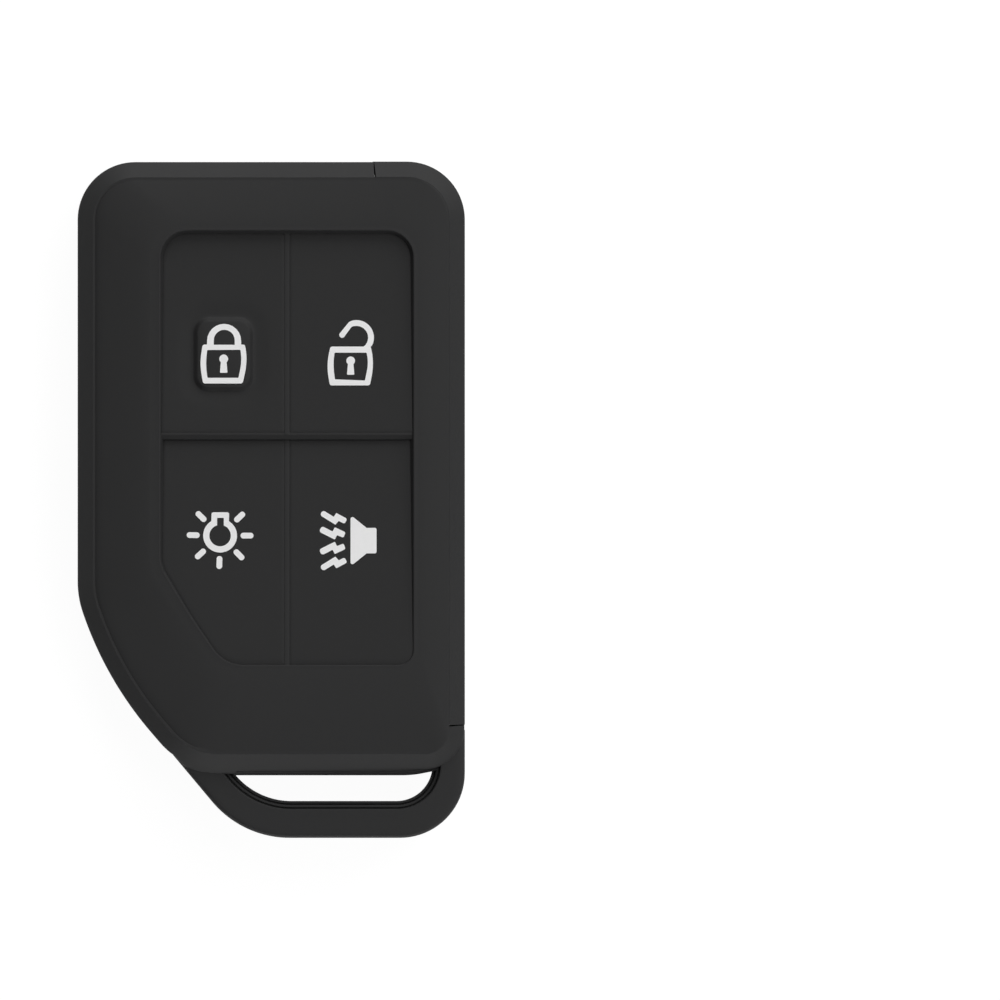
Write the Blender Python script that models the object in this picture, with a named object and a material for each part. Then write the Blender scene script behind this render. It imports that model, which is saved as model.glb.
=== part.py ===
"""A moulded silicone cover for a four-button remote key, lying on its back.

+Z comes out of the front, +Y runs along the cover away from its key ring loop, and +X is to the
right when the keys are read. The origin is under the middle of the cover, where its back rests.
The cover is one moulding. Its key plates and its access flap are separate here because they move.
All lengths are in metres.
"""

import math

import bmesh
import bpy
from mathutils import Matrix, Vector

# Overall size
BODY_WIDTH = 0.0430
BODY_LENGTH = 0.0675
LOOP_DROP = 0.0076
THICKNESS = 0.0160

# Outline of the body: corner radii, and the slanted lower left side, from the left side and the foot
TOP_CORNER_RADIUS = 0.0064
FOOT_CORNER_RADIUS = 0.0044
SLANT_START_UP = 0.0191
SLANT_START_RADIUS = 0.0107
SLANT_MIDDLE_IN = 0.0031
SLANT_MIDDLE_UP = 0.0100
SLANT_MIDDLE_RADIUS = 0.0400
SLANT_FOOT_IN = 0.0117
SLANT_FOOT_RADIUS = 0.0085

# Crowned faces: a bevel all round, then bands that rise to the keypad in front and the plateau behind
BEVEL_WIDTH = 0.0017
BEVEL_DROP = 0.0014
BEVEL_SHOULDER = 0.0003
REAR_CROWN = 0.0012
FRONT_DROP_LEFT = 0.0009
FRONT_DROP_RIGHT = 0.0003
FRONT_LIP = 0.0006

# Walls round the space for the fob
SIDE_WALL = 0.0015
REAR_WALL = 0.0014
FRONT_WALL = 0.0021
CAVITY_CHAMFER = 0.0009

# Keypad panel, from the sides of the body, and its slanted corner, from the panel's own sides
PANEL_LEFT = 0.0092
PANEL_RIGHT = 0.0057
PANEL_TOP = 0.0079
PANEL_FOOT = 0.0116
PANEL_CORNER_RADIUS = 0.0030
PANEL_FOOT_RADIUS = 0.0017
PANEL_SLANT_UP = 0.0110
PANEL_SLANT_IN = 0.0071
PANEL_SLANT_RADIUS = 0.0040
PANEL_SLANT_BULGE = 0.0002

# Webs that part the four keys, a little below the faces beside them: the upright one is placed from the
# panel's left side, the level one from its top
WEB_WIDTH = 0.0005
WEB_SINK = 0.00015
UPRIGHT_WEB_IN = 0.0140
LEVEL_WEB_DOWN = 0.0228
POCKET_LEDGE = 0.0001
KEY_CORNER_RADIUS = 0.0004

# Key plates: they lie like shingles, deep at their upper edge and nearly flush at their foot
KEY_GAP = 0.0003
KEY_TOP_DEPTH = 0.0010
KEY_FOOT_DEPTH = 0.0003
KEY_EDGE = 0.0004
KEY_WEB_DEPTH = 0.0018
KEY_PAD_INSET = 0.0018
NUB_RADIUS = 0.0025
NUB_REACH = 0.0003
LOCK_PAD_WIDTH = 0.0069
LOCK_PAD_LENGTH = 0.0085
LOCK_PAD_RADIUS = 0.0014
LOCK_PAD_HEIGHT = 0.00035
LOCK_PAD_EDGE = 0.0005

# Where each key is pressed and carries its sign: from the nearer side of the panel, and from its top
PRESS_IN = 0.0070
UPPER_PRESS_DOWN = 0.0135
LOWER_PRESS_DOWN = 0.0339

# Access flap: where its cuts are, from the right side and from the foot of the body
FLAP_GAP = 0.0003
FLAP_TOP_IN = 0.0099
FLAP_FOOT_UP = 0.0050

# Key ring loop, with points from the left side of the body and from its foot. Its faces lie a little below
# the outer edges of the bevels, and its slot has a lip all round at mid depth
LOOP_SINK = 0.0003
LOOP_STEP_IN = 0.00005
LOOP_SHOULDER_IN = 0.0088
LOOP_SHOULDER_UP = 0.0040
LOOP_FOOT_IN = 0.0183
LOOP_LEFT_RADIUS = 0.0102
LOOP_RIGHT_RADIUS = 0.0074
LOOP_EDGE = 0.0006
SLOT_DOWN = 0.0006
SLOT_HEIGHT = 0.00285
SLOT_RIGHT_BAR = 0.0036
SLOT_FOOT_IN = 0.0199
SLOT_LEFT_RADIUS = 0.0081
SLOT_RIGHT_RADIUS = 0.0040
SLOT_LIP = 0.0009
SLOT_LIP_THICKNESS = 0.0050

# Fineness of the mesh
CORNER_STEPS = 8
FILLET_ROOM = 0.998
NUB_STEPS = 32
CUTTER_MARGIN = 0.0030

# Places worked out from the sizes
RIGHT = BODY_WIDTH / 2
LEFT = -RIGHT
TOTAL_LENGTH = BODY_LENGTH + LOOP_DROP
TOP = TOTAL_LENGTH / 2
BODY_FOOT = TOP - BODY_LENGTH
LOOP_FOOT = TOP - TOTAL_LENGTH
MID_DEPTH = THICKNESS / 2
CAVITY_ROOF = THICKNESS - FRONT_WALL
PANEL_X = (LEFT + PANEL_LEFT, RIGHT - PANEL_RIGHT)
PANEL_Y = (BODY_FOOT + PANEL_FOOT, TOP - PANEL_TOP)
UPRIGHT_WEB_X = PANEL_X[0] + UPRIGHT_WEB_IN
LEVEL_WEB_Y = PANEL_Y[1] - LEVEL_WEB_DOWN
PRESS_LEFT, PRESS_RIGHT = PANEL_X[0] + PRESS_IN, PANEL_X[1] - PRESS_IN
UPPER_PRESS_Y, LOWER_PRESS_Y = PANEL_Y[1] - UPPER_PRESS_DOWN, PANEL_Y[1] - LOWER_PRESS_DOWN
PRESS_POINTS = {
    "lock_key": (PRESS_LEFT, UPPER_PRESS_Y),
    "unlock_key": (PRESS_RIGHT, UPPER_PRESS_Y),
    "lamp_key": (PRESS_LEFT, LOWER_PRESS_Y),
    "horn_key": (PRESS_RIGHT, LOWER_PRESS_Y),
}

SILICONE = (0.028, 0.028, 0.029)


class Outline:
    """A convex outline of rounded corners (x, y, radius), listed anticlockwise."""

    def __init__(self, corners):
        self.corners = [(Vector((x, y)), radius) for x, y, radius in corners]

    def inset(self, distance):
        """The outline moved inwards by distance, or outwards where distance is negative."""
        moved = []
        for i, (point, radius) in enumerate(self.corners):
            before = (point - self.corners[i - 1][0]).normalized()
            after = (self.corners[(i + 1) % len(self.corners)][0] - point).normalized()
            inwards = Vector((-before.y, before.x)) + Vector((-after.y, after.x))
            step = inwards * (2 * distance / inwards.length_squared)
            moved.append((*(point + step), max(radius - distance, KEY_CORNER_RADIUS)))
        return Outline(moved)

    def arms(self, i):
        """The two sides that leave corner i, as vectors, and half the angle between them."""
        point = self.corners[i][0]
        before = self.corners[i - 1][0] - point
        after = self.corners[(i + 1) % len(self.corners)][0] - point
        return before, after, before.angle(after) / 2

    def reaches(self):
        """How far each corner's arc reaches along its sides, less where two arcs fill a side."""
        count = len(self.corners)
        wanted = [self.corners[i][1] / math.tan(self.arms(i)[2]) for i in range(count)]
        found = []
        for i in range(count):
            before, after, _ = self.arms(i)
            room = min(
                before.length / (wanted[i] + wanted[i - 1]),
                after.length / (wanted[i] + wanted[(i + 1) % count]),
            )
            found.append(wanted[i] * min(1.0, FILLET_ROOM * room))
        return found

    def points(self):
        """The outline's points: CORNER_STEPS + 1 along the arc of each corner."""
        found = []
        for i, reach in enumerate(self.reaches()):
            point = self.corners[i][0]
            before, after, half = self.arms(i)
            middle = (before.normalized() + after.normalized()).normalized()
            centre = point + middle * (reach / math.cos(half))
            start = point + before.normalized() * reach - centre
            turn = (math.pi - 2 * half) / CORNER_STEPS
            found += [centre + Matrix.Rotation(turn * k, 2) @ start for k in range(CORNER_STEPS + 1)]
        return found


def body_outline():
    """The sleeve seen from the front, without its loop."""
    return Outline(
        [
            (RIGHT, BODY_FOOT, FOOT_CORNER_RADIUS),
            (RIGHT, TOP, TOP_CORNER_RADIUS),
            (LEFT, TOP, TOP_CORNER_RADIUS),
            (LEFT, BODY_FOOT + SLANT_START_UP, SLANT_START_RADIUS),
            (LEFT + SLANT_MIDDLE_IN, BODY_FOOT + SLANT_MIDDLE_UP, SLANT_MIDDLE_RADIUS),
            (LEFT + SLANT_FOOT_IN, BODY_FOOT, SLANT_FOOT_RADIUS),
        ]
    )


def panel_outline():
    """The keypad's recess, and the plateau behind it, which has the same shape."""
    start = Vector((PANEL_X[0], PANEL_Y[0] + PANEL_SLANT_UP))
    foot = Vector((PANEL_X[0] + PANEL_SLANT_IN, PANEL_Y[0]))
    run = (foot - start).normalized()
    middle = (start + foot) / 2 + Vector((run.y, -run.x)) * PANEL_SLANT_BULGE
    return Outline(
        [
            (PANEL_X[1], PANEL_Y[0], PANEL_FOOT_RADIUS),
            (PANEL_X[1], PANEL_Y[1], PANEL_CORNER_RADIUS),
            (PANEL_X[0], PANEL_Y[1], PANEL_CORNER_RADIUS),
            (*start, PANEL_SLANT_RADIUS),
            (*middle, SLANT_MIDDLE_RADIUS),
            (*foot, PANEL_SLANT_RADIUS),
        ]
    )


def pocket_outlines():
    """The hole for each key plate in the panel, by key name."""
    panel = panel_outline().inset(POCKET_LEDGE)
    foot_right, top_right, top_left, start, _, foot = panel.corners
    web_left = UPRIGHT_WEB_X - WEB_WIDTH / 2
    web_right = UPRIGHT_WEB_X + WEB_WIDTH / 2
    web_foot = LEVEL_WEB_Y - WEB_WIDTH / 2
    web_top = LEVEL_WEB_Y + WEB_WIDTH / 2
    small = KEY_CORNER_RADIUS
    return {
        "lock_key": Outline(
            [
                (web_left, web_top, small),
                (web_left, top_left[0].y, small),
                (*top_left[0], top_left[1]),
                (top_left[0].x, web_top, small),
            ]
        ),
        "unlock_key": Outline(
            [
                (top_right[0].x, web_top, small),
                (*top_right[0], top_right[1]),
                (web_right, top_right[0].y, small),
                (web_right, web_top, small),
            ]
        ),
        "lamp_key": Outline(
            [
                (web_left, foot[0].y, small),
                (web_left, web_foot, small),
                (start[0].x, web_foot, small),
                (*start[0], start[1]),
                (*foot[0], foot[1]),
            ]
        ),
        "horn_key": Outline(
            [
                (*foot_right[0], foot_right[1]),
                (foot_right[0].x, web_foot, small),
                (web_right, web_foot, small),
                (web_right, foot_right[0].y, small),
            ]
        ),
    }


def front_rim(point):
    """Height of the front bevel's inner edge, which drops further on the left than on the right."""
    share = (point.x - LEFT) / BODY_WIDTH
    return THICKNESS - FRONT_DROP_LEFT - (FRONT_DROP_RIGHT - FRONT_DROP_LEFT) * share


def ring(outline, height):
    """The outline's points at a height, which is a number or a function of the point."""
    return [
        Vector((p.x, p.y, height(p) if callable(height) else height)) for p in outline.points()
    ]


def loft(rings):
    """A closed mesh through rings of equal count, from the lowest to the highest, with flat ends."""
    mesh = bmesh.new()
    rows = [[mesh.verts.new(point) for point in points] for points in rings]
    for lower, upper in zip(rows, rows[1:]):
        for i in range(len(lower)):
            mesh.faces.new((lower[i - 1], lower[i], upper[i], upper[i - 1]))
    mesh.faces.new(list(reversed(rows[0])))
    mesh.faces.new(rows[-1])
    bmesh.ops.recalc_face_normals(mesh, faces=mesh.faces)
    return mesh


def prism(outline, low, high):
    """A straight block of the outline between two heights."""
    return loft([ring(outline, low), ring(outline, high)])


def body_solid():
    """The outside of the sleeve's body, from the plateau on its back to the lip round its keypad."""
    body, panel = body_outline(), panel_outline()
    bevel_foot = REAR_CROWN + BEVEL_DROP
    return loft(
        [
            ring(panel, 0.0),
            ring(body.inset(BEVEL_WIDTH), REAR_CROWN),
            ring(body.inset(BEVEL_SHOULDER / 2), bevel_foot - BEVEL_SHOULDER),
            ring(body, bevel_foot + BEVEL_SHOULDER / 2),
            ring(body, lambda p: front_rim(p) - BEVEL_DROP - BEVEL_SHOULDER / 2),
            ring(body.inset(BEVEL_SHOULDER / 2), lambda p: front_rim(p) - BEVEL_DROP + BEVEL_SHOULDER),
            ring(body.inset(BEVEL_WIDTH), front_rim),
            ring(panel.inset(-FRONT_LIP), THICKNESS),
        ]
    )


def cavity_solid():
    """The space that the fob fills: it follows the outside at the thickness of each wall."""
    body, panel = body_outline(), panel_outline()
    return loft(
        [
            ring(panel, REAR_WALL),
            ring(body.inset(SIDE_WALL + CAVITY_CHAMFER), REAR_CROWN + REAR_WALL),
            ring(body.inset(SIDE_WALL), REAR_CROWN + REAR_WALL + CAVITY_CHAMFER),
            ring(body.inset(SIDE_WALL), CAVITY_ROOF - CAVITY_CHAMFER),
            ring(body.inset(SIDE_WALL + CAVITY_CHAMFER), CAVITY_ROOF),
        ]
    )


def loop_outline():
    """The key ring loop, from inside the body down to the cover's foot."""
    right = RIGHT - LOOP_STEP_IN
    shoulder = BODY_FOOT + LOOP_SHOULDER_UP
    return Outline(
        [
            (right, LOOP_FOOT, LOOP_RIGHT_RADIUS),
            (right, BODY_FOOT + FOOT_CORNER_RADIUS, KEY_CORNER_RADIUS),
            (LEFT + LOOP_SHOULDER_IN, shoulder, KEY_CORNER_RADIUS),
            (LEFT + LOOP_FOOT_IN, LOOP_FOOT, LOOP_LEFT_RADIUS),
        ]
    )


def loop_face(point):
    """Height of the loop's front face, which follows the bevel beside it."""
    return front_rim(point) - BEVEL_DROP - LOOP_SINK


def slot_outline():
    """The slot inside its lip. Its left end runs beside the loop's slanted side."""
    right = RIGHT - SLOT_RIGHT_BAR
    head = BODY_FOOT - SLOT_DOWN
    foot = head - SLOT_HEIGHT
    slant = (LOOP_FOOT_IN - LOOP_SHOULDER_IN) / (BODY_FOOT + LOOP_SHOULDER_UP - LOOP_FOOT)
    left = LEFT + SLOT_FOOT_IN
    return Outline(
        [
            (right, foot, SLOT_RIGHT_RADIUS),
            (right, head, KEY_CORNER_RADIUS),
            (left - slant * (head - foot), head, KEY_CORNER_RADIUS),
            (left, foot, SLOT_LEFT_RADIUS),
        ]
    )


def loop_solid():
    """The loop's block with its outer edges eased."""
    outline = loop_outline()
    eased = outline.inset(LOOP_EDGE)
    low = REAR_CROWN + BEVEL_DROP + LOOP_SINK
    return loft(
        [
            ring(eased, low),
            ring(outline, low + LOOP_EDGE),
            ring(outline, lambda p: loop_face(p) - LOOP_EDGE),
            ring(eased, loop_face),
        ]
    )


def flap_zone(clearance):
    """The block that holds the flap and nothing else of the sleeve, grown by clearance on its cut sides."""
    inner = body_outline().inset(BEVEL_WIDTH + clearance)
    cut_x = RIGHT - FLAP_TOP_IN - clearance
    cut_y = BODY_FOOT + FLAP_FOOT_UP - clearance
    far = CUTTER_MARGIN
    corner = inner.points()[CORNER_STEPS + 1 : 2 * (CORNER_STEPS + 1)]
    path = [Vector((RIGHT + far, cut_y)), Vector((RIGHT + far, TOP + far)), Vector((cut_x, TOP + far))]
    path += [Vector((cut_x, corner[-1].y)), *reversed(corner), Vector((corner[0].x, cut_y))]
    mesh = bmesh.new()
    lower = [mesh.verts.new((p.x, p.y, -far)) for p in path]
    floor = mesh.faces.new(lower)
    lifted = bmesh.ops.extrude_face_region(mesh, geom=[floor])
    upper = [item for item in lifted["geom"] if isinstance(item, bmesh.types.BMVert)]
    bmesh.ops.translate(mesh, verts=upper, vec=(0, 0, THICKNESS + 2 * far))
    bmesh.ops.recalc_face_normals(mesh, faces=mesh.faces)
    return mesh


def recess_solids():
    """The keypad's recess, by row of keys: its floor follows the faces of that row, a little below them."""
    panel = panel_outline()
    foot_right, _, _, *slant = [(*point, radius) for point, radius in panel.corners]
    shelf = LEVEL_WEB_Y + WEB_WIDTH / 2
    sides = [(PANEL_X[1], shelf, KEY_CORNER_RADIUS), (PANEL_X[0], shelf, KEY_CORNER_RADIUS)]
    clear = POCKET_LEDGE + KEY_GAP
    half = WEB_WIDTH / 2 + KEY_GAP
    upper_floor = face_height(LEVEL_WEB_Y + half, PANEL_Y[1] - clear, WEB_SINK)
    lower_floor = face_height(PANEL_Y[0] + clear, LEVEL_WEB_Y - half, WEB_SINK)
    lower = Outline([foot_right, *sides, *slant])
    above = THICKNESS + CUTTER_MARGIN
    return {
        "upper_recess": loft([ring(panel, upper_floor), ring(panel, above)]),
        "lower_recess": loft([ring(lower, lower_floor), ring(lower, above)]),
    }


def face_height(foot, head, sink=0.0):
    """The height of a row of key faces as a function of the point: they rise towards the foot."""
    rise = (KEY_TOP_DEPTH - KEY_FOOT_DEPTH) / (head - foot)
    return lambda point: THICKNESS - KEY_TOP_DEPTH - sink + rise * (head - point.y)


def key_top(outline):
    """The height of one key plate's face as a function of the point."""
    ends = [corner.y for corner, _ in outline.corners]
    return face_height(min(ends), max(ends))


def key_solid(outline):
    """A key plate: eased face, straight sides, a thin margin that flexes and a thicker pad within it."""
    top = key_top(outline)
    web, pad = THICKNESS - KEY_WEB_DEPTH, CAVITY_ROOF
    rise = web - pad
    return loft(
        [
            ring(outline.inset(KEY_PAD_INSET + rise), pad),
            ring(outline.inset(KEY_PAD_INSET), web),
            ring(outline, web),
            ring(outline, lambda p: top(p) - KEY_EDGE),
            ring(outline.inset(KEY_EDGE / 3), lambda p: top(p) - KEY_EDGE / 3),
            ring(outline.inset(KEY_EDGE), top),
        ]
    )


def nub_solid(centre):
    """The round nub under a key that presses the fob's own button."""
    mesh = bmesh.new()
    low, high = CAVITY_ROOF - NUB_REACH, THICKNESS - KEY_WEB_DEPTH
    bmesh.ops.create_cone(
        mesh,
        cap_ends=True,
        segments=NUB_STEPS,
        radius1=NUB_RADIUS,
        radius2=NUB_RADIUS + (high - low) / 2,
        depth=high - low,
        matrix=Matrix.Translation((centre.x, centre.y, (low + high) / 2)),
    )
    return mesh


def lock_pad_solid(outline, centre):
    """The raised square round the padlock, parallel to the face of its key."""
    x, y = LOCK_PAD_WIDTH / 2, LOCK_PAD_LENGTH / 2
    corners = [(x, -y), (x, y), (-x, y), (-x, -y)]
    pad = Outline([(centre.x + u, centre.y + v, LOCK_PAD_RADIUS) for u, v in corners])
    top = key_top(outline)
    return loft(
        [
            ring(pad, lambda p: top(p) - KEY_EDGE),
            ring(pad, lambda p: top(p) + LOCK_PAD_HEIGHT / 4),
            ring(pad.inset(LOCK_PAD_EDGE), lambda p: top(p) + LOCK_PAD_HEIGHT),
        ]
    )


def silicone(name):
    """The node's own matte silicone."""
    made = bpy.data.materials.new(name + "_silicone")
    made.use_nodes = True
    shader = made.node_tree.nodes["Principled BSDF"]
    shader.inputs["Base Color"].default_value = (*SILICONE, 1.0)
    shader.inputs["Roughness"].default_value = 0.6
    shader.inputs["Metallic"].default_value = 0.0
    return made


def place(name, mesh, origin=(0.0, 0.0, 0.0)):
    """An object made from a mesh in world coordinates, with its own origin, shaded smooth."""
    origin = Vector(origin)
    bmesh.ops.translate(mesh, verts=mesh.verts, vec=-origin)
    data = bpy.data.meshes.new(name)
    mesh.to_mesh(data)
    mesh.free()
    placed = bpy.data.objects.new(name, data)
    bpy.context.scene.collection.objects.link(placed)
    placed.location = origin
    data.shade_smooth()
    data.set_sharp_from_angle(angle=math.radians(30))
    return placed


def node(name, mesh, parent, origin=(0.0, 0.0, 0.0)):
    """A piece of the cover, with its material."""
    piece = place(name, mesh, origin)
    piece.data.materials.append(silicone(name))
    piece.parent = parent
    return piece


def helper(name, mesh):
    """A cutter or a solid that is joined to a piece, kept out of the model itself."""
    tool = place(name, mesh)
    tool.hide_render = True
    tool.display_type = "WIRE"
    return tool


def combine(piece, operation, tool):
    """Adds a Boolean step to a piece."""
    step = piece.modifiers.new(f"{operation.lower()}_{tool.name}", "BOOLEAN")
    step.operation = operation
    step.object = tool
    step.solver = "EXACT"


def build_loop():
    """The loop with its slot, whose wall is stepped to leave a lip at mid depth."""
    loop = helper("loop_block", loop_solid())
    slot = slot_outline()
    lip_low, lip_high = MID_DEPTH - SLOT_LIP_THICKNESS / 2, MID_DEPTH + SLOT_LIP_THICKNESS / 2
    wide = slot.inset(-SLOT_LIP)
    combine(loop, "DIFFERENCE", helper("slot_cutter", prism(slot, 0.0, THICKNESS)))
    combine(loop, "DIFFERENCE", helper("front_rebate", prism(wide, lip_high, THICKNESS)))
    combine(loop, "DIFFERENCE", helper("rear_rebate", prism(wide, 0.0, lip_low)))
    return loop


def build_sleeve(parent):
    """The moulded sleeve: body and loop joined, then hollowed, recessed and opened."""
    sleeve = node("sleeve", body_solid(), parent)
    above = THICKNESS + CUTTER_MARGIN
    combine(sleeve, "UNION", build_loop())
    combine(sleeve, "DIFFERENCE", helper("cavity", cavity_solid()))
    for name, recess in recess_solids().items():
        combine(sleeve, "DIFFERENCE", helper(name, recess))
    for name, outline in pocket_outlines().items():
        pocket = prism(outline, CAVITY_ROOF - CAVITY_CHAMFER, above)
        combine(sleeve, "DIFFERENCE", helper(name + "_pocket", pocket))
    combine(sleeve, "DIFFERENCE", helper("flap_opening", flap_zone(FLAP_GAP / 2)))
    return sleeve


def build_flap(parent):
    """The L-shaped strip of wall, hinged along the inner edge of the front bevel on its right side."""
    hinge = (RIGHT - BEVEL_WIDTH, 0.0, front_rim(Vector((RIGHT - BEVEL_WIDTH, 0.0))))
    flap = node("access_flap", body_solid(), parent, hinge)
    combine(flap, "INTERSECT", helper("flap_block", flap_zone(-FLAP_GAP / 2)))
    return flap


def build_key(name, pocket, parent):
    """A key plate in its pocket, with its origin on the line that it is pressed along."""
    outline = pocket.inset(KEY_GAP)
    origin = Vector((*PRESS_POINTS[name], CAVITY_ROOF))
    key = node(name, key_solid(outline), parent, origin)
    combine(key, "UNION", helper(name + "_nub", nub_solid(origin)))
    if name == "lock_key":
        combine(key, "UNION", helper("lock_pad", lock_pad_solid(outline, origin)))
    return key


def main():
    """Clears the scene and builds the cover."""
    for old in list(bpy.data.objects):
        bpy.data.objects.remove(old, do_unlink=True)
    cover = bpy.data.objects.new("key_fob_cover", None)
    bpy.context.scene.collection.objects.link(cover)
    build_sleeve(cover)
    build_flap(cover)
    for name, pocket in pocket_outlines().items():
        build_key(name, pocket, cover)


if __name__ == "__main__":
    main()
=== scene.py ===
"""The looks of a moulded silicone cover for a four-button remote key, built around its fixed frame.

The cover lies on its back: +Z comes out of its front, +Y runs away from its key ring loop and +X is to
the right when the keys are read. All lengths are in metres.
"""

import logging
import math
from dataclasses import dataclass, field
from enum import Enum, IntEnum
from typing import Callable, Mapping, Sequence

import bmesh
import bpy
from mathutils import Matrix, Vector


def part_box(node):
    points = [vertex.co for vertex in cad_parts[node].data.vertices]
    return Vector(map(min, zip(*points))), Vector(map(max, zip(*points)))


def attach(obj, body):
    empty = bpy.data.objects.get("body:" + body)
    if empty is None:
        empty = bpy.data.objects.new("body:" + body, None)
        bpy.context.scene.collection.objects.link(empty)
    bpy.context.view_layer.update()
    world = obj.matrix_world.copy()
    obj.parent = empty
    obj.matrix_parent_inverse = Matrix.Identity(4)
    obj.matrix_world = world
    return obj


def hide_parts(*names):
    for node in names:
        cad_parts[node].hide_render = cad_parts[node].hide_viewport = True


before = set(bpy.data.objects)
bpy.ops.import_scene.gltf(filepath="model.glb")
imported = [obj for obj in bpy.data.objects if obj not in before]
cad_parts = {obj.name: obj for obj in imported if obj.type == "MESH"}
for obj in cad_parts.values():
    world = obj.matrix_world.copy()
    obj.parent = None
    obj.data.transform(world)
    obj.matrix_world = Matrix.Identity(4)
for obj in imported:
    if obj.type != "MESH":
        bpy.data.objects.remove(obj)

# Chords in each rounded corner, of the cover's outlines and of its signs
ARC_STEPS = 20
SIGN_STEPS = 6

# The share of a side that the arcs at its ends may fill, and a length that is as good as none
ARC_ROOM = 0.998
FLUSH = 1e-9

# Sockets of a colour mix, which go by number: its two colours and its result
MIX_FIRST = 6
MIX_SECOND = 7
MIX_RESULT = 2

log = logging.getLogger("key_fob_cover")


# Outlines and lofts


@dataclass(frozen=True)
class Corner:
    """A corner of an outline, with the radius that rounds it."""

    x: float
    y: float
    radius: float = 0.0

    @property
    def point(self) -> Vector:
        """The corner before it is rounded."""
        return Vector((self.x, self.y))


@dataclass(frozen=True)
class Station:
    """A point on an outline and the direction that faces out of the outline there."""

    point: Vector
    normal: Vector

    def inset(self, distance: float) -> Vector:
        """The point moved inwards by a distance."""
        return self.point - self.normal * distance


class Outline:
    """A closed outline of rounded corners, convex or not, listed anticlockwise."""

    def __init__(self, corners: Sequence[Corner], steps: int = ARC_STEPS) -> None:
        """Keeps the corners and the fineness.

        Args:
            corners: The corners in order.
            steps: How many chords each arc has.
        """
        self.corners = list(corners)
        self.steps = steps

    def _arms(self, i: int) -> tuple[Vector, Vector, float]:
        """The two sides at a corner.

        Args:
            i: The corner.

        Returns:
            The sides towards the corner before and the one after, and half the angle between them.
        """
        point = self.corners[i].point
        before = self.corners[i - 1].point - point
        after = self.corners[(i + 1) % len(self.corners)].point - point
        return before, after, before.angle(after) / 2

    def _reaches(self) -> list[float]:
        """How far each arc reaches along its sides, less where two arcs would fill a side.

        Returns:
            The reaches, corner by corner.
        """
        count = len(self.corners)
        wanted = [c.radius / math.tan(self._arms(i)[2]) for i, c in enumerate(self.corners)]
        found = []
        for i in range(count):
            before, after, _ = self._arms(i)
            room = min(
                before.length / max(wanted[i] + wanted[i - 1], FLUSH),
                after.length / max(wanted[i] + wanted[(i + 1) % count], FLUSH),
            )
            found.append(wanted[i] * min(1.0, ARC_ROOM * room))
        return found

    def _arc(self, i: int, reach: float) -> list[Station]:
        """Rounds a corner.

        Args:
            i: The corner.
            reach: How far its arc reaches along both sides.

        Returns:
            The stations on the arc, or one station where the corner is sharp.
        """
        point = self.corners[i].point
        before, after, half = self._arms(i)
        turn = math.copysign(1.0, after.cross(before))
        if reach <= FLUSH:
            along = after.normalized() - before.normalized()
            return [Station(point, Vector((along.y, -along.x)).normalized())]
        middle = (before.normalized() + after.normalized()).normalized()
        centre = point + middle * (reach / math.cos(half))
        arm = point + before.normalized() * reach - centre
        step = turn * (math.pi - 2 * half) / self.steps
        spokes = [Matrix.Rotation(step * k, 2) @ arm for k in range(self.steps + 1)]
        return [Station(centre + spoke, spoke.normalized() * turn) for spoke in spokes]

    def stations(self, splits: Mapping[int, Sequence[float]] | None = None) -> list[Station]:
        """Walks the outline.

        Args:
            splits: Where the straight sides are divided: for the side after corner i, its fractions.

        Returns:
            The stations in order, from the arc of the first corner.
        """
        arcs = [self._arc(i, reach) for i, reach in enumerate(self._reaches())]
        found = []
        for i, rounding in enumerate(arcs):
            found += rounding
            start, end = rounding[-1].point, arcs[(i + 1) % len(arcs)][0].point
            run = (end - start).normalized()
            for share in (splits or {}).get(i, ()):
                found.append(Station(start.lerp(end, share), Vector((run.y, -run.x))))
        return found

    def share(self, i: int, axis: int, value: float) -> float:
        """Where a coordinate is met on a straight side.

        Args:
            i: The corner that the side leaves.
            axis: 0 for x and 1 for y.
            value: The coordinate.

        Returns:
            The fraction of the side, from the arc of corner i to the next arc.
        """
        following = (i + 1) % len(self.corners)
        reaches = self._reaches()
        start = self._arc(i, reaches[i])[-1].point[axis]
        end = self._arc(following, reaches[following])[0].point[axis]
        return (value - start) / (end - start)

    def path(self) -> list[Vector]:
        """The outline's points alone."""
        return [station.point for station in self.stations()]


def eased_path(points: Sequence[Corner], steps: int) -> list[Vector]:
    """An open run of straight stretches with rounded corners, such as half a moulding's section.

    Args:
        points: The corners; the first and the last are its ends.
        steps: How many chords each arc has.

    Returns:
        The points of the run, both ends included.
    """
    found = [points[0].point]
    for last, here, following in zip(points, points[1:], points[2:]):
        before, after = last.point - here.point, following.point - here.point
        half = before.angle(after) / 2
        reach = here.radius / math.tan(half)
        middle = (before.normalized() + after.normalized()).normalized()
        centre = here.point + middle * (reach / math.cos(half))
        arm = here.point + before.normalized() * reach - centre
        step = math.copysign(math.pi - 2 * half, after.cross(before)) / steps
        found += [centre + Matrix.Rotation(step * k, 2) @ arm for k in range(steps + 1)]
    return [*found, points[-1].point]


def arc(centre: tuple[float, float], radius: float, start: float, end: float, steps: int) -> list[Corner]:
    """Points along a circle, as sharp corners of an outline.

    Args:
        centre: The circle's centre.
        radius: Its radius.
        start: The first angle in degrees, anticlockwise from +X.
        end: The last angle in degrees.
        steps: How many chords the arc has.

    Returns:
        The corners in order.
    """
    angles = [math.radians(start + (end - start) * k / steps) for k in range(steps + 1)]
    return [Corner(centre[0] + radius * math.cos(a), centre[1] + radius * math.sin(a)) for a in angles]


def smooth(share: float) -> float:
    """Runs from 0 to 1 with flat ends."""
    share = min(1.0, max(0.0, share))
    return share * share * (3 - 2 * share)


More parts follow.
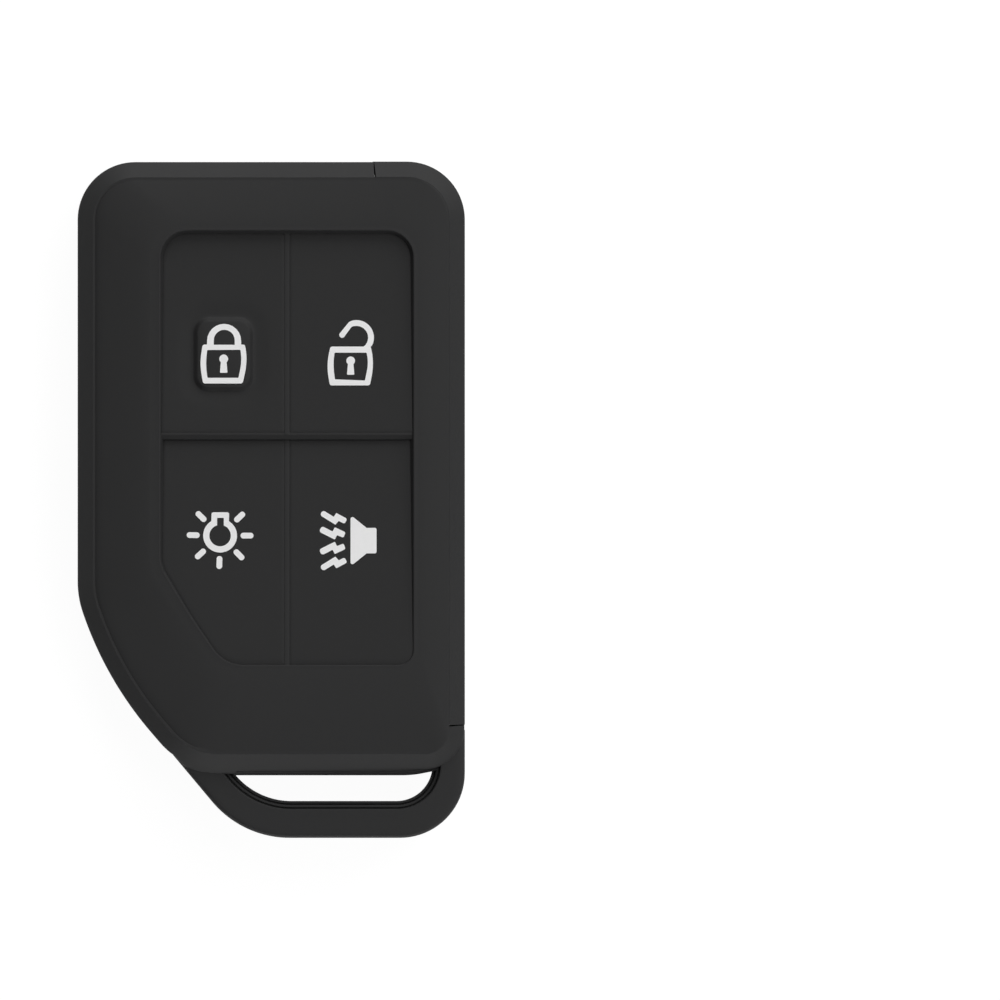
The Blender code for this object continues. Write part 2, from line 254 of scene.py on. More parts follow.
def band(mesh: bmesh.types.BMesh, rows: Sequence[Sequence[bmesh.types.BMVert]], closed: bool) -> None:
    """Joins rows of vertices with quads.

    Args:
        mesh: The mesh that holds the vertices.
        rows: Rows of equal length.
        closed: Whether each row's last vertex is joined to its first.
    """
    for lower, upper in zip(rows, rows[1:]):
        for i in range(0 if closed else 1, len(lower)):
            mesh.faces.new((lower[i - 1], lower[i], upper[i], upper[i - 1]))


def loft(rings: Sequence[Sequence[Vector]]) -> bmesh.types.BMesh:
    """A closed body through rings, or through the sections of a sweep.

    Args:
        rings: Rings of equal count.

    Returns:
        The body, capped at both ends.
    """
    mesh = bmesh.new()
    rows = [[mesh.verts.new(point) for point in ring] for ring in rings]
    band(mesh, rows, closed=True)
    mesh.faces.new(list(reversed(rows[0])))
    mesh.faces.new(rows[-1])
    bmesh.ops.recalc_face_normals(mesh, faces=mesh.faces)
    return mesh


# Finishes


class Nodes:
    """A short way to write a material's nodes."""

    def __init__(self, tree: bpy.types.NodeTree) -> None:
        """Keeps the tree that the nodes go into."""
        self.tree = tree

    def add(self, kind: str, **inputs: object) -> bpy.types.Node:
        """Adds a node.

        Args:
            kind: The node's type.
            **inputs: Values or output sockets by input name, with _ for a space.

        Returns:
            The node.
        """
        node = self.tree.nodes.new(kind)
        for name, value in inputs.items():
            socket = node.inputs[name.replace("_", " ")]
            if isinstance(value, bpy.types.NodeSocket):
                self.tree.links.new(value, socket)
            else:
                socket.default_value = value
        return node

    def link(self, source: bpy.types.NodeSocket, node: bpy.types.Node, name: str | int = 0) -> None:
        """Feeds a node's input, by its name or its number."""
        self.tree.links.new(source, node.inputs[name])

    def noise(self, scale: float, detail: float, rough: float = 0.5) -> bpy.types.NodeSocket:
        """Solid noise in the object's own metres.

        Args:
            scale: Its scale, per metre.
            detail: How many octaves it has.
            rough: How strong the finer octaves are.

        Returns:
            The noise, from 0 to 1.
        """
        where = self.add("ShaderNodeTexCoord").outputs["Object"]
        made = self.add("ShaderNodeTexNoise", Vector=where, Scale=scale, Detail=detail, Roughness=rough)
        return made.outputs["Fac"]

    def between(self, share: bpy.types.NodeSocket, low: float, high: float) -> bpy.types.NodeSocket:
        """Maps 0 to 1 onto low to high."""
        made = self.add("ShaderNodeMapRange", Value=share, To_Min=low, To_Max=high)
        return made.outputs["Result"]

    def blend(
        self, share: bpy.types.NodeSocket, first: Sequence[float], second: Sequence[float]
    ) -> bpy.types.NodeSocket:
        """A colour between two colours.

        Args:
            share: 0 for the first colour and 1 for the second.
            first: Its red, green and blue.
            second: Its red, green and blue.

        Returns:
            The colour.
        """
        made = self.add("ShaderNodeMix")
        made.data_type = "RGBA"
        self.link(share, made, "Factor")
        made.inputs[MIX_FIRST].default_value = (*first, 1.0)
        made.inputs[MIX_SECOND].default_value = (*second, 1.0)
        return made.outputs[MIX_RESULT]


def blank_material(name: str) -> tuple[bpy.types.Material, Nodes, bpy.types.Node]:
    """A new material.

    Args:
        name: Its name.

    Returns:
        The material, its nodes and its shader.
    """
    made = bpy.data.materials.new(name)
    made.use_nodes = True
    return made, Nodes(made.node_tree), made.node_tree.nodes["Principled BSDF"]


@dataclass(frozen=True)
class SiliconeFinish:
    """Matte black moulded silicone: a fine grain and a soft ripple, with patches from handling."""

    name: str
    shade: float = 0.0214
    patch_shade: float = 0.0244
    roughness: float = 0.56
    patch_roughness: float = 0.66
    specular: float = 0.35
    patch_scale: float = 90.0
    grain_scale: float = 5200.0
    grain_height: float = 0.000006
    ripple_scale: float = 420.0
    ripple_height: float = 0.000014
    ior: float = 1.41
    cool: float = 1.02

    def material(self) -> bpy.types.Material:
        """Makes the material.

        Returns:
            The material.
        """
        made, nodes, shader = blank_material(self.name)
        shader.inputs["IOR"].default_value = self.ior
        shader.inputs["Specular IOR Level"].default_value = self.specular
        patches = nodes.noise(self.patch_scale, detail=4.0, rough=0.6)
        dark, light = ((s, s, s * self.cool) for s in (self.shade, self.patch_shade))
        nodes.link(nodes.blend(patches, dark, light), shader, "Base Color")
        rough = nodes.between(patches, self.roughness, self.patch_roughness)
        nodes.link(rough, shader, "Roughness")
        grain = nodes.add(
            "ShaderNodeBump",
            Height=nodes.noise(self.grain_scale, detail=2.0),
            Distance=self.grain_height,
        )
        ripple = nodes.add(
            "ShaderNodeBump",
            Height=nodes.noise(self.ripple_scale, detail=3.0),
            Distance=self.ripple_height,
            Normal=grain.outputs["Normal"],
        )
        nodes.link(ripple.outputs["Normal"], shader, "Normal")
        return made


@dataclass(frozen=True)
class InkFinish:
    """Thick white screen ink: satin, with slightly uneven cover."""

    name: str
    thin: tuple[float, float, float] = (0.90, 0.90, 0.90)
    full: tuple[float, float, float] = (0.97, 0.97, 0.97)
    roughness: float = 0.42
    cover_scale: float = 1500.0
    cover_height: float = 0.000008

    def material(self) -> bpy.types.Material:
        """Makes the material.

        Returns:
            The material.
        """
        made, nodes, shader = blank_material(self.name)
        shader.inputs["Roughness"].default_value = self.roughness
        cover = nodes.noise(self.cover_scale, detail=3.0)
        nodes.link(nodes.blend(cover, self.thin, self.full), shader, "Base Color")
        bump = nodes.add("ShaderNodeBump", Height=cover, Distance=self.cover_height)
        nodes.link(bump.outputs["Normal"], shader, "Normal")
        return made


class Slot(Enum):
    """The record's material slots."""

    SLEEVE = "sleeve"
    FLAP = "flap"
    KEYS = "keys"


class Body(Enum):
    """The bodies that pieces ride on."""

    COVER = "cover"
    FLAP = "flap"
    LOCK = "lock"
    UNLOCK = "unlock"
    LAMP = "lamp"
    HORN = "horn"


@dataclass
class Dresser:
    """Turns meshes into named pieces of the cover, dressed and riding on their bodies."""

    finishes: Mapping[Slot, bpy.types.Material]
    sharp_angle: float = math.radians(32)

    def piece(
        self,
        name: str,
        mesh: bmesh.types.BMesh,
        body: Body,
        slot: Slot,
        replaces: str = "",
        finish: bpy.types.Material | None = None,
    ) -> bpy.types.Object:
        """Makes one piece.

        Args:
            name: The piece's name.
            mesh: Its mesh in the frame's coordinates, freed here.
            body: The body it rides on.
            slot: The record's slot that it takes its finish from.
            replaces: The node that it stands for, if any.
            finish: Its material, where it isn't its slot's own.

        Returns:
            The piece.
        """
        data = bpy.data.meshes.new(name)
        mesh.to_mesh(data)
        mesh.free()
        data.shade_smooth()
        data.set_sharp_from_angle(angle=self.sharp_angle)
        data.materials.append(finish or self.finishes[slot])
        made = bpy.data.objects.new(name, data)
        bpy.context.scene.collection.objects.link(made)
        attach(made, body.value)
        if replaces:
            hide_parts(replaces)
        log.info("%s: %d faces, rides on %s", name, len(data.polygons), body.value)
        return made


# The sleeve and its flap


@dataclass
class CoverSizes:
    """The sizes that several pieces share. The outer ones come from the frame."""

    # Read from the frame
    left: float = 0.0
    right: float = 0.0
    top: float = 0.0
    loop_foot: float = 0.0
    thickness: float = 0.0

    # The body without its loop, and how far the flap stands proud of it
    body_length: float = 0.0675
    proud: float = 0.00005

    # The inner edges of the bevels, under the front and over the plateau on the back
    front_drop_left: float = 0.0009
    front_drop_right: float = 0.0003
    rear_rise: float = 0.0012

    # The roof over the fob's space
    roof: float = 0.0139

    # The keypad, from the body's sides, and the webs across it, from its left side and its head
    panel_left: float = 0.0092
    panel_right: float = 0.0057
    panel_top: float = 0.00765
    panel_foot: float = 0.0116
    upright_web_in: float = 0.01405
    web_half: float = 0.00030
    shelf_down: float = 0.02242
    step_down: float = 0.02322
    step_run: float = 0.00053

    # The key faces' depths at the head and the foot of their rows, and the draft of the wall round them
    key_head_depth: float = 0.0010
    shelf_depth: float = 0.00030
    foot_depth: float = 0.00012
    wall_draft: float = 0.37

    def __post_init__(self) -> None:
        """Reads the outer sizes from the frame."""
        low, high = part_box("sleeve")
        flap_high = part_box("access_flap")[1]
        self.left, self.loop_foot = low.x, low.y
        self.right, self.top = flap_high.x, flap_high.y
        self.thickness = high.z

    @property
    def foot(self) -> float:
        """The body's foot, above its loop."""
        return self.top - self.body_length

    @property
    def panel_x(self) -> tuple[float, float]:
        """The keypad's left and right sides."""
        return self.left + self.panel_left, self.right - self.panel_right

    @property
    def panel_y(self) -> tuple[float, float]:
        """The keypad's foot and head."""
        return self.foot + self.panel_foot, self.top - self.panel_top

    @property
    def web_x(self) -> float:
        """The middle of the upright web."""
        return self.panel_x[0] + self.upright_web_in

    @property
    def shelf(self) -> float:
        """The level web's upper side."""
        return self.panel_y[1] - self.shelf_down

    @property
    def step(self) -> float:
        """The level web's lower side."""
        return self.panel_y[1] - self.step_down

    def key_depth(self, y: float) -> float:
        """How far the key faces lie below the front there: they rise towards the foot of each row.

        Args:
            y: The place along the cover.

        Returns:
            The depth, which drops from one row to the other at the level web's lower side.
        """
        if y >= self.shelf:
            share, end = (self.panel_y[1] - y) / self.shelf_down, self.shelf_depth
        elif y <= self.step:
            share, end = (self.step - y) / (self.step - self.panel_y[0]), self.foot_depth
        else:
            share, end = min(1.0, (y - self.step) / self.step_run), self.shelf_depth
        return self.key_head_depth + (end - self.key_head_depth) * share

    def rim_height(self, x: float) -> float:
        """Height of the front bevel's inner edge, which drops further on the left than on the right."""
        share = (x - self.left) / (self.right - self.left)
        return self.thickness - self.front_drop_left - (self.front_drop_right - self.front_drop_left) * share


class Side(IntEnum):
    """The straight sides of the body's and the keypad's outlines, by the corner that each one leaves."""

    RIGHT = 0
    TOP = 1
    LEFT = 2
    FOOT = 5


@dataclass
class SleeveShell:
    """The moulded sleeve without its loop and webs, and the flap that is cut from its wall.

    Both come from the same rings of stations, so the flap's edges meet the sleeve's all along the cut.
    """

    sizes: CoverSizes

    # The outlines of the body and of the keypad; the slant's corners are from the body's left foot
    top_radius: float = 0.0064
    foot_radius: float = 0.0044
    slant: tuple[Corner, ...] = (
        Corner(0.0, 0.0191, 0.0107),
        Corner(0.0031, 0.0100, 0.0400),
        Corner(0.0117, 0.0, 0.0085),
    )
    panel_radius: float = 0.0030
    panel_foot_radius: float = 0.0017
    panel_slant_up: float = 0.0110
    panel_slant_in: float = 0.0071
    panel_slant_radius: float = 0.0040
    panel_slant_bulge: float = 0.0002
    panel_bulge_radius: float = 0.0400

    # The bevels, and the flare of the front one's foot beside the loop
    bevel_width: float = 0.0017
    bevel_drop: float = 0.0014
    bevel_radius: float = 0.00035
    bevel_steps: int = 6
    flare_start: float = 0.0109
    flare_run: float = 0.0013
    flare_last: float = 0.01747
    flare_end: float = 0.01786
    flare_width: float = 0.0005

    # The narrow land inside the front bevel, and the shallow valley beside it on the left
    land_width: float = 0.00026
    land_height: float = 0.00007
    land_steps: int = 6
    valley_depth: float = 0.00007
    valley_share: float = 0.10

    # The bands round the keypad and the plateau: the flat lip's width, and the powers that they curve by
    lip: float = 0.0006
    left_lip: float = 0.0011
    front_power: float = 1.6
    left_power: float = 1.30
    rear_power: float = 1.5
    steep_power: float = 1.04
    steep_from: float = 0.55
    steep_run: float = 0.40

    # The walls round the fob's space
    side_wall: float = 0.0015
    rear_wall: float = 0.0014
    cavity_chamfer: float = 0.0009

    # The keypad's edge, and the wall under it as run and fall, in shares of the keys' depth
    lip_radius: float = 0.00006
    lip_bead: float = 0.000014
    lip_steps: int = 4
    wall_steps: tuple[tuple[float, float], ...] = ((0.08, 0.27), (0.16, 0.42), (0.27, 0.85), (0.37, 1.0))

    # The flap's cuts: their places and slit, and how they slant in plan and in depth
    flap_top_in: float = 0.0101
    flap_foot_up: float = 0.00493
    flap_slit: float = 0.00008
    cut_slants: tuple[float, float, float, float] = (-0.08, -0.02, -0.12, -0.06)
    cut_tilt: float = 0.012

    # The flap's wall, and the seat with the ledge that it closes on
    flap_wall: float = 0.00152
    seat_in: float = 0.00185
    ledge_in: float = 0.00158
    ledge_down: float = 0.00032
    ledge_height: float = 0.00040
    ledge_gap: float = 0.00006
    lap_gap: float = 0.000006

    # Where the bands are divided, and the straight sides of the outlines, in shares of the way
    ramp: tuple[float, ...] = (0.02, 0.05, 0.10, 0.17, 0.26, 0.37, 0.49, 0.61, 0.73, 0.84, 0.93, 0.965)
    side_splits: tuple[float, ...] = (0.15, 0.3, 0.45, 0.7, 0.85)
    top_splits: tuple[float, ...] = (0.3, 0.5, 0.7, 0.9)
    foot_splits: tuple[float, ...] = (0.25, 0.5, 0.75)

    # Worked out from the sizes
    body: list[Station] = field(default_factory=list)
    panel: list[Station] = field(default_factory=list)

    def __post_init__(self) -> None:
        """Places the stations of the body's outline and of the keypad's, one for one."""
        s = self.sizes
        right, top = s.right - s.proud, s.top - s.proud
        slant = [Corner(s.left + c.x, s.foot + c.y, c.radius) for c in self.slant]
        body = Outline(
            [
                Corner(right, s.foot, self.foot_radius),
                Corner(right, top, self.top_radius),
                Corner(s.left, top, self.top_radius),
                *slant,
            ]
        )
        panel = Outline(self._panel_corners())
        splits = self._splits(body, panel)
        self.body, self.panel = body.stations(splits), panel.stations(splits)

    def _panel_corners(self) -> list[Corner]:
        """The corners of the keypad's recess, and of the plateau behind it.

        Returns:
            The corners, anticlockwise from the lower right one.
        """
        s = self.sizes
        (left, right), (foot, head) = s.panel_x, s.panel_y
        start = Vector((left, foot + self.panel_slant_up))
        end = Vector((left + self.panel_slant_in, foot))
        run = (end - start).normalized()
        middle = (start + end) / 2 + Vector((run.y, -run.x)) * self.panel_slant_bulge
        return [
            Corner(right, foot, self.panel_foot_radius),
            Corner(right, head, self.panel_radius),
            Corner(left, head, self.panel_radius),
            Corner(*start, self.panel_slant_radius),
            Corner(*middle, self.panel_bulge_radius),
            Corner(*end, self.panel_slant_radius),
        ]

    def _splits(self, body: Outline, panel: Outline) -> dict[int, list[float]]:
        """Where the straight sides are divided: at the lips of the cuts, the key rows and the flare's end.

        Args:
            body: The body's outline.
            panel: The keypad's outline.

        Returns:
            Fractions by side.
        """
        s = self.sizes
        rows = (s.step, s.step + s.step_run, s.shelf)
        lips = (-self.flap_slit / 2, self.flap_slit / 2)
        cut_x, cut_y = s.right - self.flap_top_in, s.foot + self.flap_foot_up
        cuts = [body.share(Side.RIGHT, 1, cut_y + lip) for lip in lips]
        right = [*cuts, *(panel.share(Side.RIGHT, 1, y) for y in rows)]
        top = [body.share(Side.TOP, 0, cut_x + lip) for lip in lips]
        left = [panel.share(Side.LEFT, 1, y) for y in rows]
        foot = [body.share(Side.FOOT, 0, s.left + x) for x in (self.flare_last, self.flare_end)]
        return {
            Side.RIGHT: sorted([*right, *self.side_splits]),
            Side.TOP: sorted([*top, *self.top_splits]),
            Side.LEFT: sorted([*left, *self.side_splits]),
            Side.FOOT: sorted([*foot, *self.foot_splits]),
        }

    def _column(self, point: Vector) -> int:
        """The station of the body's outline that is nearest to a point."""
        return min(range(len(self.body)), key=lambda i: (self.body[i].point - point).length)

    def cut_columns(self) -> tuple[int, int, int, int]:
        """Finds the stations at the cuts.

        Returns:
            The sleeve's and the flap's at the foot, then the flap's and the sleeve's on top.
        """
        s = self.sizes
        slit = self.flap_slit / 2
        right, top = s.right - s.proud, s.top - s.proud
        x, y = s.right - self.flap_top_in, s.foot + self.flap_foot_up
        places = [(right, y - slit), (right, y + slit), (x + slit, top), (x - slit, top)]
        low, flap_low, flap_high, high = (self._column(Vector(place)) for place in places)
        return low, flap_low, flap_high, high

    def rim(self, column: int) -> float:
        """Height of the front bevel's inner edge at a station."""
        return self.sizes.rim_height(self.body[column].inset(self.bevel_width).x)

    def ring(self, inset: float, height: Callable[[int], float], out: float = 0.0) -> list[Vector]:
        """A ring round the body, drawn aside at the flap's cuts, which slant in plan and in depth.

        Args:
            inset: Distance inside the outline.
            height: The height at each station.
            out: How far the ring is moved outwards, for the flap that stands proud.

        Returns:
            The ring's points.
        """
        found = [Vector((*station.inset(inset - out), height(i))) for i, station in enumerate(self.body)]
        for i, slant in zip(self.cut_columns(), self.cut_slants):
            normal = self.body[i].normal
            aside = slant * inset + self.cut_tilt * (self.sizes.thickness - found[i].z)
            found[i] += Vector((-normal.y, normal.x, 0.0)) * aside
        return found

    def bevel_profile(self) -> list[Vector]:
        """The bevel's section, from the side wall to its inner edge.

        Returns:
            The points, as inset and height above the rim.
        """
        down = -self.bevel_drop
        edge = Corner(0.0, down, self.bevel_radius)
        return eased_path([Corner(0.0, 2 * down), edge, Corner(self.bevel_width, 0.0)], self.bevel_steps)[1:]

    def land_profile(self) -> list[tuple[float, float]]:
        """The narrow land inside the bevel, as insets and shares of its way over."""
        shares = [k / self.land_steps for k in range(self.land_steps)]
        return [(self.bevel_width + self.land_width * way, way) for way in shares]

    def leftness(self, column: int) -> float:
        """1 where the outline faces left, 0 where it faces up, down or right."""
        return smooth(-self.body[column].normal.x)

    def land_lift(self, column: int, way: float) -> float:
        """How far the land stands over the rim: it is level on the left and rounds up on the right.

        Args:
            column: The station.
            way: 0 at the bevel and 1 at the band.

        Returns:
            The height over the rim.
        """
        return self.land_height * smooth(self.body[column].normal.x) * way * (2 - way)

    def _crown_power(self, column: int) -> float:
        """How sharply the rear band curves: planar on the right side of the cover, soft elsewhere."""
        steep = smooth((self.body[column].normal.x - self.steep_from) / self.steep_run)
        return self.rear_power + (self.steep_power - self.rear_power) * steep

    def _rear_rows(self) -> list[list[Vector]]:
        """Rings from the plateau on the back to the lip of the rear cut.

        Returns:
            The rings, innermost first.
        """
        s = self.sizes
        inner = self.bevel_width + self.land_width
        rows = [[Vector((*p.point, 0.0)) for p in self.panel]]
        for share in (*self.ramp, 1.0):
            row = []
            for i, (body, panel) in enumerate(zip(self.body, self.panel)):
                place = panel.point.lerp(body.inset(inner), share)
                row.append(Vector((*place, s.rear_rise * share ** self._crown_power(i))))
            rows.append(row)
        rows.append(self.ring(self.bevel_width, lambda i: s.rear_rise))
        return rows

    def flare_share(self, x: float) -> float:
        """How fully the front bevel's foot flares at a place across the cover: 0 left of the loop."""
        return min(1.0, max(0.0, (x - self.sizes.left - self.flare_start) / self.flare_run))

    def _bevel_ring(self, place: Vector, out: float) -> list[Vector]:
        """A ring of the front bevel, drawn out and down where its foot flares.

        Args:
            place: The bevel's section there, as inset and height above the rim.
            out: How far the ring is moved outwards.

        Returns:
            The ring's points.
        """
        row = self.ring(place.x, lambda i: self.rim(i) + place.y, out)
        outer = 1 - place.x / self.bevel_width
        last = self.sizes.left + self.flare_last + FLUSH
        for point, station in zip(row, self.body):
            if station.normal.y < 0 and station.point.x < last:
                flare = self.flare_width * self.flare_share(station.point.x) * outer
                point += Vector((*station.normal * flare, -flare * self.bevel_drop / self.bevel_width))
        return row

    def _side_rows(self, out: float = 0.0) -> list[list[Vector]]:
        """Rings from the rear bevel's inner edge over the side to the front bevel's inner edge.

        Args:
            out: How far the rings are moved outwards.

        Returns:
            The rings, from the back to the front.
        """
        rise = self.sizes.rear_rise
        profile = self.bevel_profile()
        rear = [self.ring(p.x, lambda i, up=p.y: rise - up, out) for p in reversed(profile)]
        return rear + [self._bevel_ring(p, out) for p in profile]

    def _front_rows(self) -> list[list[Vector]]:
        """Rings from the lip of the front cut over the land and the crowned band to the keypad's lip.

        Returns:
            The rings, outermost first.
        """
        inner = self.bevel_width + self.land_width
        rows = [
            self.ring(inset, lambda i, way=way: self.rim(i) + self.land_lift(i, way))
            for inset, way in self.land_profile()
        ]
        top = self.sizes.thickness - self.lip_bead
        for share in (1.0, *reversed(self.ramp), 0.0):
            row = []
            for i, (body, panel) in enumerate(zip(self.body, self.panel)):
                leftness = self.leftness(i)
                lip = self.lip + (self.left_lip - self.lip) * leftness
                power = self.front_power + (self.left_power - self.front_power) * leftness
                place = panel.inset(-lip).lerp(body.inset(inner), share)
                height = top - (top - self.rim(i) - self.land_lift(i, 1.0)) * share**power
                valley = max(0.0, 1 - (1 - share) / self.valley_share) ** 2
                row.append(Vector((*place, height - self.valley_depth * leftness * valley)))
            rows.append(row)
        return rows

    def _recess_rows(self) -> list[list[Vector]]:
        """Rings from the keypad's lip down its drafted wall to the roof over the fob's space.

        Returns:
            The rings, topmost first.
        """
        s, radius = self.sizes, self.lip_radius
        run, fall = self.wall_steps[0]
        corners = [
            Corner(-5 * radius, -self.lip_bead),
            Corner(-3 * radius, 0.0, 2 * radius),
            Corner(0.0, 0.0, radius),
            Corner(2 * radius * run / fall, -2 * radius),
        ]
        edge = eased_path(corners, self.lip_steps)
        rows = [[Vector((*p.inset(e.x), s.thickness + e.y)) for p in self.panel] for e in edge[:-1]]
        for inwards, down in self.wall_steps:
            row = []
            for p in self.panel:
                depth = s.key_depth(p.point.y)
                row.append(Vector((*p.inset(inwards * depth), s.thickness - down * depth)))
            rows.append(row)
        rows.append([Vector((*p.inset(s.wall_draft * s.key_depth(p.point.y)), s.roof)) for p in self.panel])
        return rows

    def _cavity_rows(self) -> list[list[Vector]]:
        """Rings from the edge of the roof over the inside of the walls to the floor.

        Returns:
            The rings, topmost first: four on the walls and one on the floor.
        """
        s = self.sizes
        wall, chamfer = self.side_wall, self.cavity_chamfer
        floor = s.rear_rise + self.rear_wall
        levels = [
            (wall + chamfer, s.roof),
            (wall, s.roof - chamfer),
            (wall, floor + chamfer),
            (wall + chamfer, floor),
        ]
        rows = [self.ring(inset, lambda i, z=z: z) for inset, z in levels]
        rows.append([Vector((*p.point, self.rear_wall)) for p in self.panel])
        return rows

    def _seat_rows(self) -> list[list[Vector]]:
        """Rings of the seat behind the flap: under the front edge a ledge that the flap closes on.

        Returns:
            The rings, topmost first.
        """
        shelf, under = self.ledge_down, self.ledge_down + self.ledge_height
        levels = [
            (self.bevel_width, shelf),
            (self.ledge_in, shelf + self.ledge_gap),
            (self.ledge_in, under),
            (self.seat_in, under + self.seat_in - self.ledge_in),
        ]
        rows = [self.ring(inset, lambda i, down=down: self.rim(i) - down) for inset, down in levels]
        return [*rows, self.ring(self.seat_in, lambda i: self.sizes.roof)]

    def sleeve_mesh(self) -> bmesh.types.BMesh:
        """The sleeve's shell, open at the keypad and where the flap is cut out.

        Returns:
            The mesh, closed as a skin round the walls.
        """
        parts = [
            self._rear_rows(),
            self._side_rows(),
            [*self._front_rows(), *self._recess_rows()],
            self._cavity_rows(),
        ]
        mesh = bmesh.new()
        rear, side, front, cavity = (
            [[mesh.verts.new(point) for point in row] for row in rows] for rows in parts
        )
        low, _, _, high = self.cut_columns()
        count = len(self.body)
        kept = [*range(high, count), *range(0, low + 1)]
        opened = list(range(low, high + 1))
        band(mesh, rear, closed=True)
        band(mesh, [*front, cavity[0]], closed=True)
        band(mesh, cavity[-2:], closed=True)
        outer, walls = [rear[-1], *side, front[0]], cavity[:-1]
        for rows in (outer, walls):
            band(mesh, [[row[i] for i in kept] for row in rows], closed=False)
        upper = [{i: mesh.verts.new(row[i]) for i in opened} for row in self._seat_rows()]
        floor = self.ring(self.seat_in, lambda i: self.sizes.rear_rise + self.rear_wall)
        lower = {i: mesh.verts.new(floor[i]) for i in opened}
        seats = [list(row.values()) for row in upper]
        front_edge, roof_edge, floor_edge, rear_edge = (
            [row[i] for i in opened] for row in (front[0], walls[0], walls[-1], rear[-1])
        )
        band(mesh, [front_edge, *seats, roof_edge], closed=False)
        band(mesh, [floor_edge, list(lower.values()), rear_edge], closed=False)
        for i in (low, high):
            inner = [*(row[i] for row in upper), *(row[i] for row in walls), lower[i]]
            mesh.faces.new([row[i] for row in outer] + inner)
        mesh.faces.new(rear[0])
        mesh.faces.new(cavity[-1])
        unused = [vert for vert in mesh.verts if not vert.link_faces]
        bmesh.ops.delete(mesh, geom=unused, context="VERTS")
        bmesh.ops.recalc_face_normals(mesh, faces=mesh.faces)
        return mesh

    def flap_mesh(self) -> bmesh.types.BMesh:
        """The strip of wall that opens, a little proud of the sleeve.

        Returns:
            The mesh, swept from one cut to the other.
        """
        s = self.sizes
        _, low, high, _ = self.cut_columns()
        shelf = self.ledge_down - self.ledge_gap
        lap = self.bevel_width - self.lap_gap
        inner_foot = s.rear_rise + self.rear_wall / 2
        rows = self._side_rows(s.proud)
        rows.append(self.ring(lap, self.rim))
        rows.append(self.ring(lap, lambda i: self.rim(i) - shelf))
        rows.append(self.ring(self.flap_wall, lambda i: self.rim(i) - shelf - self.ledge_gap))
        rows.append(self.ring(self.flap_wall, lambda i: inner_foot))
        return loft([[row[i] for row in rows] for i in range(low, high + 1)])

    def dress(self, dresser: Dresser) -> None:
        """Makes the sleeve's shell and the flap."""
        dresser.piece("sleeve_shell", self.sleeve_mesh(), Body.COVER, Slot.SLEEVE, "sleeve")
        dresser.piece("flap_strip", self.flap_mesh(), Body.FLAP, Slot.FLAP, "access_flap")


# The keypad


@dataclass
class KeypadWebs:
    """The thin cross between the keys: an upright ridge, and a slope that steps down to the lower row."""

    sizes: CoverSizes

    # How far the webs keep inside their places and under the key faces, and their edges' radius
    slack: float = 0.000005
    edge: float = 0.000015
    sink: float = 0.00001
    level_sink: float = 0.00002

    # The slope's rounded brow
    brow_in: float = 0.00002
    brow_down: float = 0.00022
    brow_radius: float = 0.00018
    brow_foot_radius: float = 0.000045

    # How far the webs' ends run on into the wall
    bury: float = 0.00025
    edge_steps: int = 4

    def _section(self, height: float) -> list[Vector]:
        """The ridge's section.

        Args:
            height: The height of its top.

        Returns:
            The points, as offsets from its middle and heights.
        """
        roof, half = self.sizes.roof, self.sizes.web_half - self.slack
        top = [Corner(half, height, self.edge), Corner(-half, height, self.edge)]
        return eased_path([Corner(half, roof), *top, Corner(-half, roof)], self.edge_steps)

    def upright_mesh(self) -> bmesh.types.BMesh:
        """The ridge that runs along the cover.

        Returns:
            The mesh.
        """
        s = self.sizes
        foot, head = s.panel_y[0] - self.bury, s.panel_y[1] + self.bury
        places = [foot, s.panel_y[0], s.step, s.step + s.step_run, s.shelf, s.panel_y[1], head]
        sections = []
        for y in places:
            inside = min(max(y, s.panel_y[0]), s.panel_y[1])
            height = s.thickness - s.key_depth(inside) - self.sink
            sections.append([Vector((s.web_x + p.x, y, p.y)) for p in self._section(height)])
        return loft(sections)

    def level_mesh(self) -> bmesh.types.BMesh:
        """The step that runs across the cover, with a rounded brow over the lower row.

        Returns:
            The mesh.
        """
        s = self.sizes
        high = s.thickness - s.shelf_depth - self.level_sink
        low = s.thickness - s.key_head_depth - self.level_sink
        corners = [
            Corner(s.shelf - self.slack, s.roof),
            Corner(s.shelf - self.slack, high, self.slack),
            Corner(s.step + s.step_run, high, self.brow_radius),
            Corner(s.step + self.brow_in, high - self.brow_down, self.brow_foot_radius),
            Corner(s.step, low, self.edge),
            Corner(s.step, s.roof),
        ]
        profile = eased_path(corners, self.edge_steps)
        ends = (s.panel_x[0] - self.bury, s.panel_x[1] + self.bury)
        return loft([[Vector((x, p.x, p.y)) for p in profile] for x in ends])

    def dress(self, dresser: Dresser) -> None:
        """Makes both webs."""
        dresser.piece("upright_web", self.upright_mesh(), Body.COVER, Slot.SLEEVE, "sleeve")
        dresser.piece("level_web", self.level_mesh(), Body.COVER, Slot.SLEEVE, "sleeve")


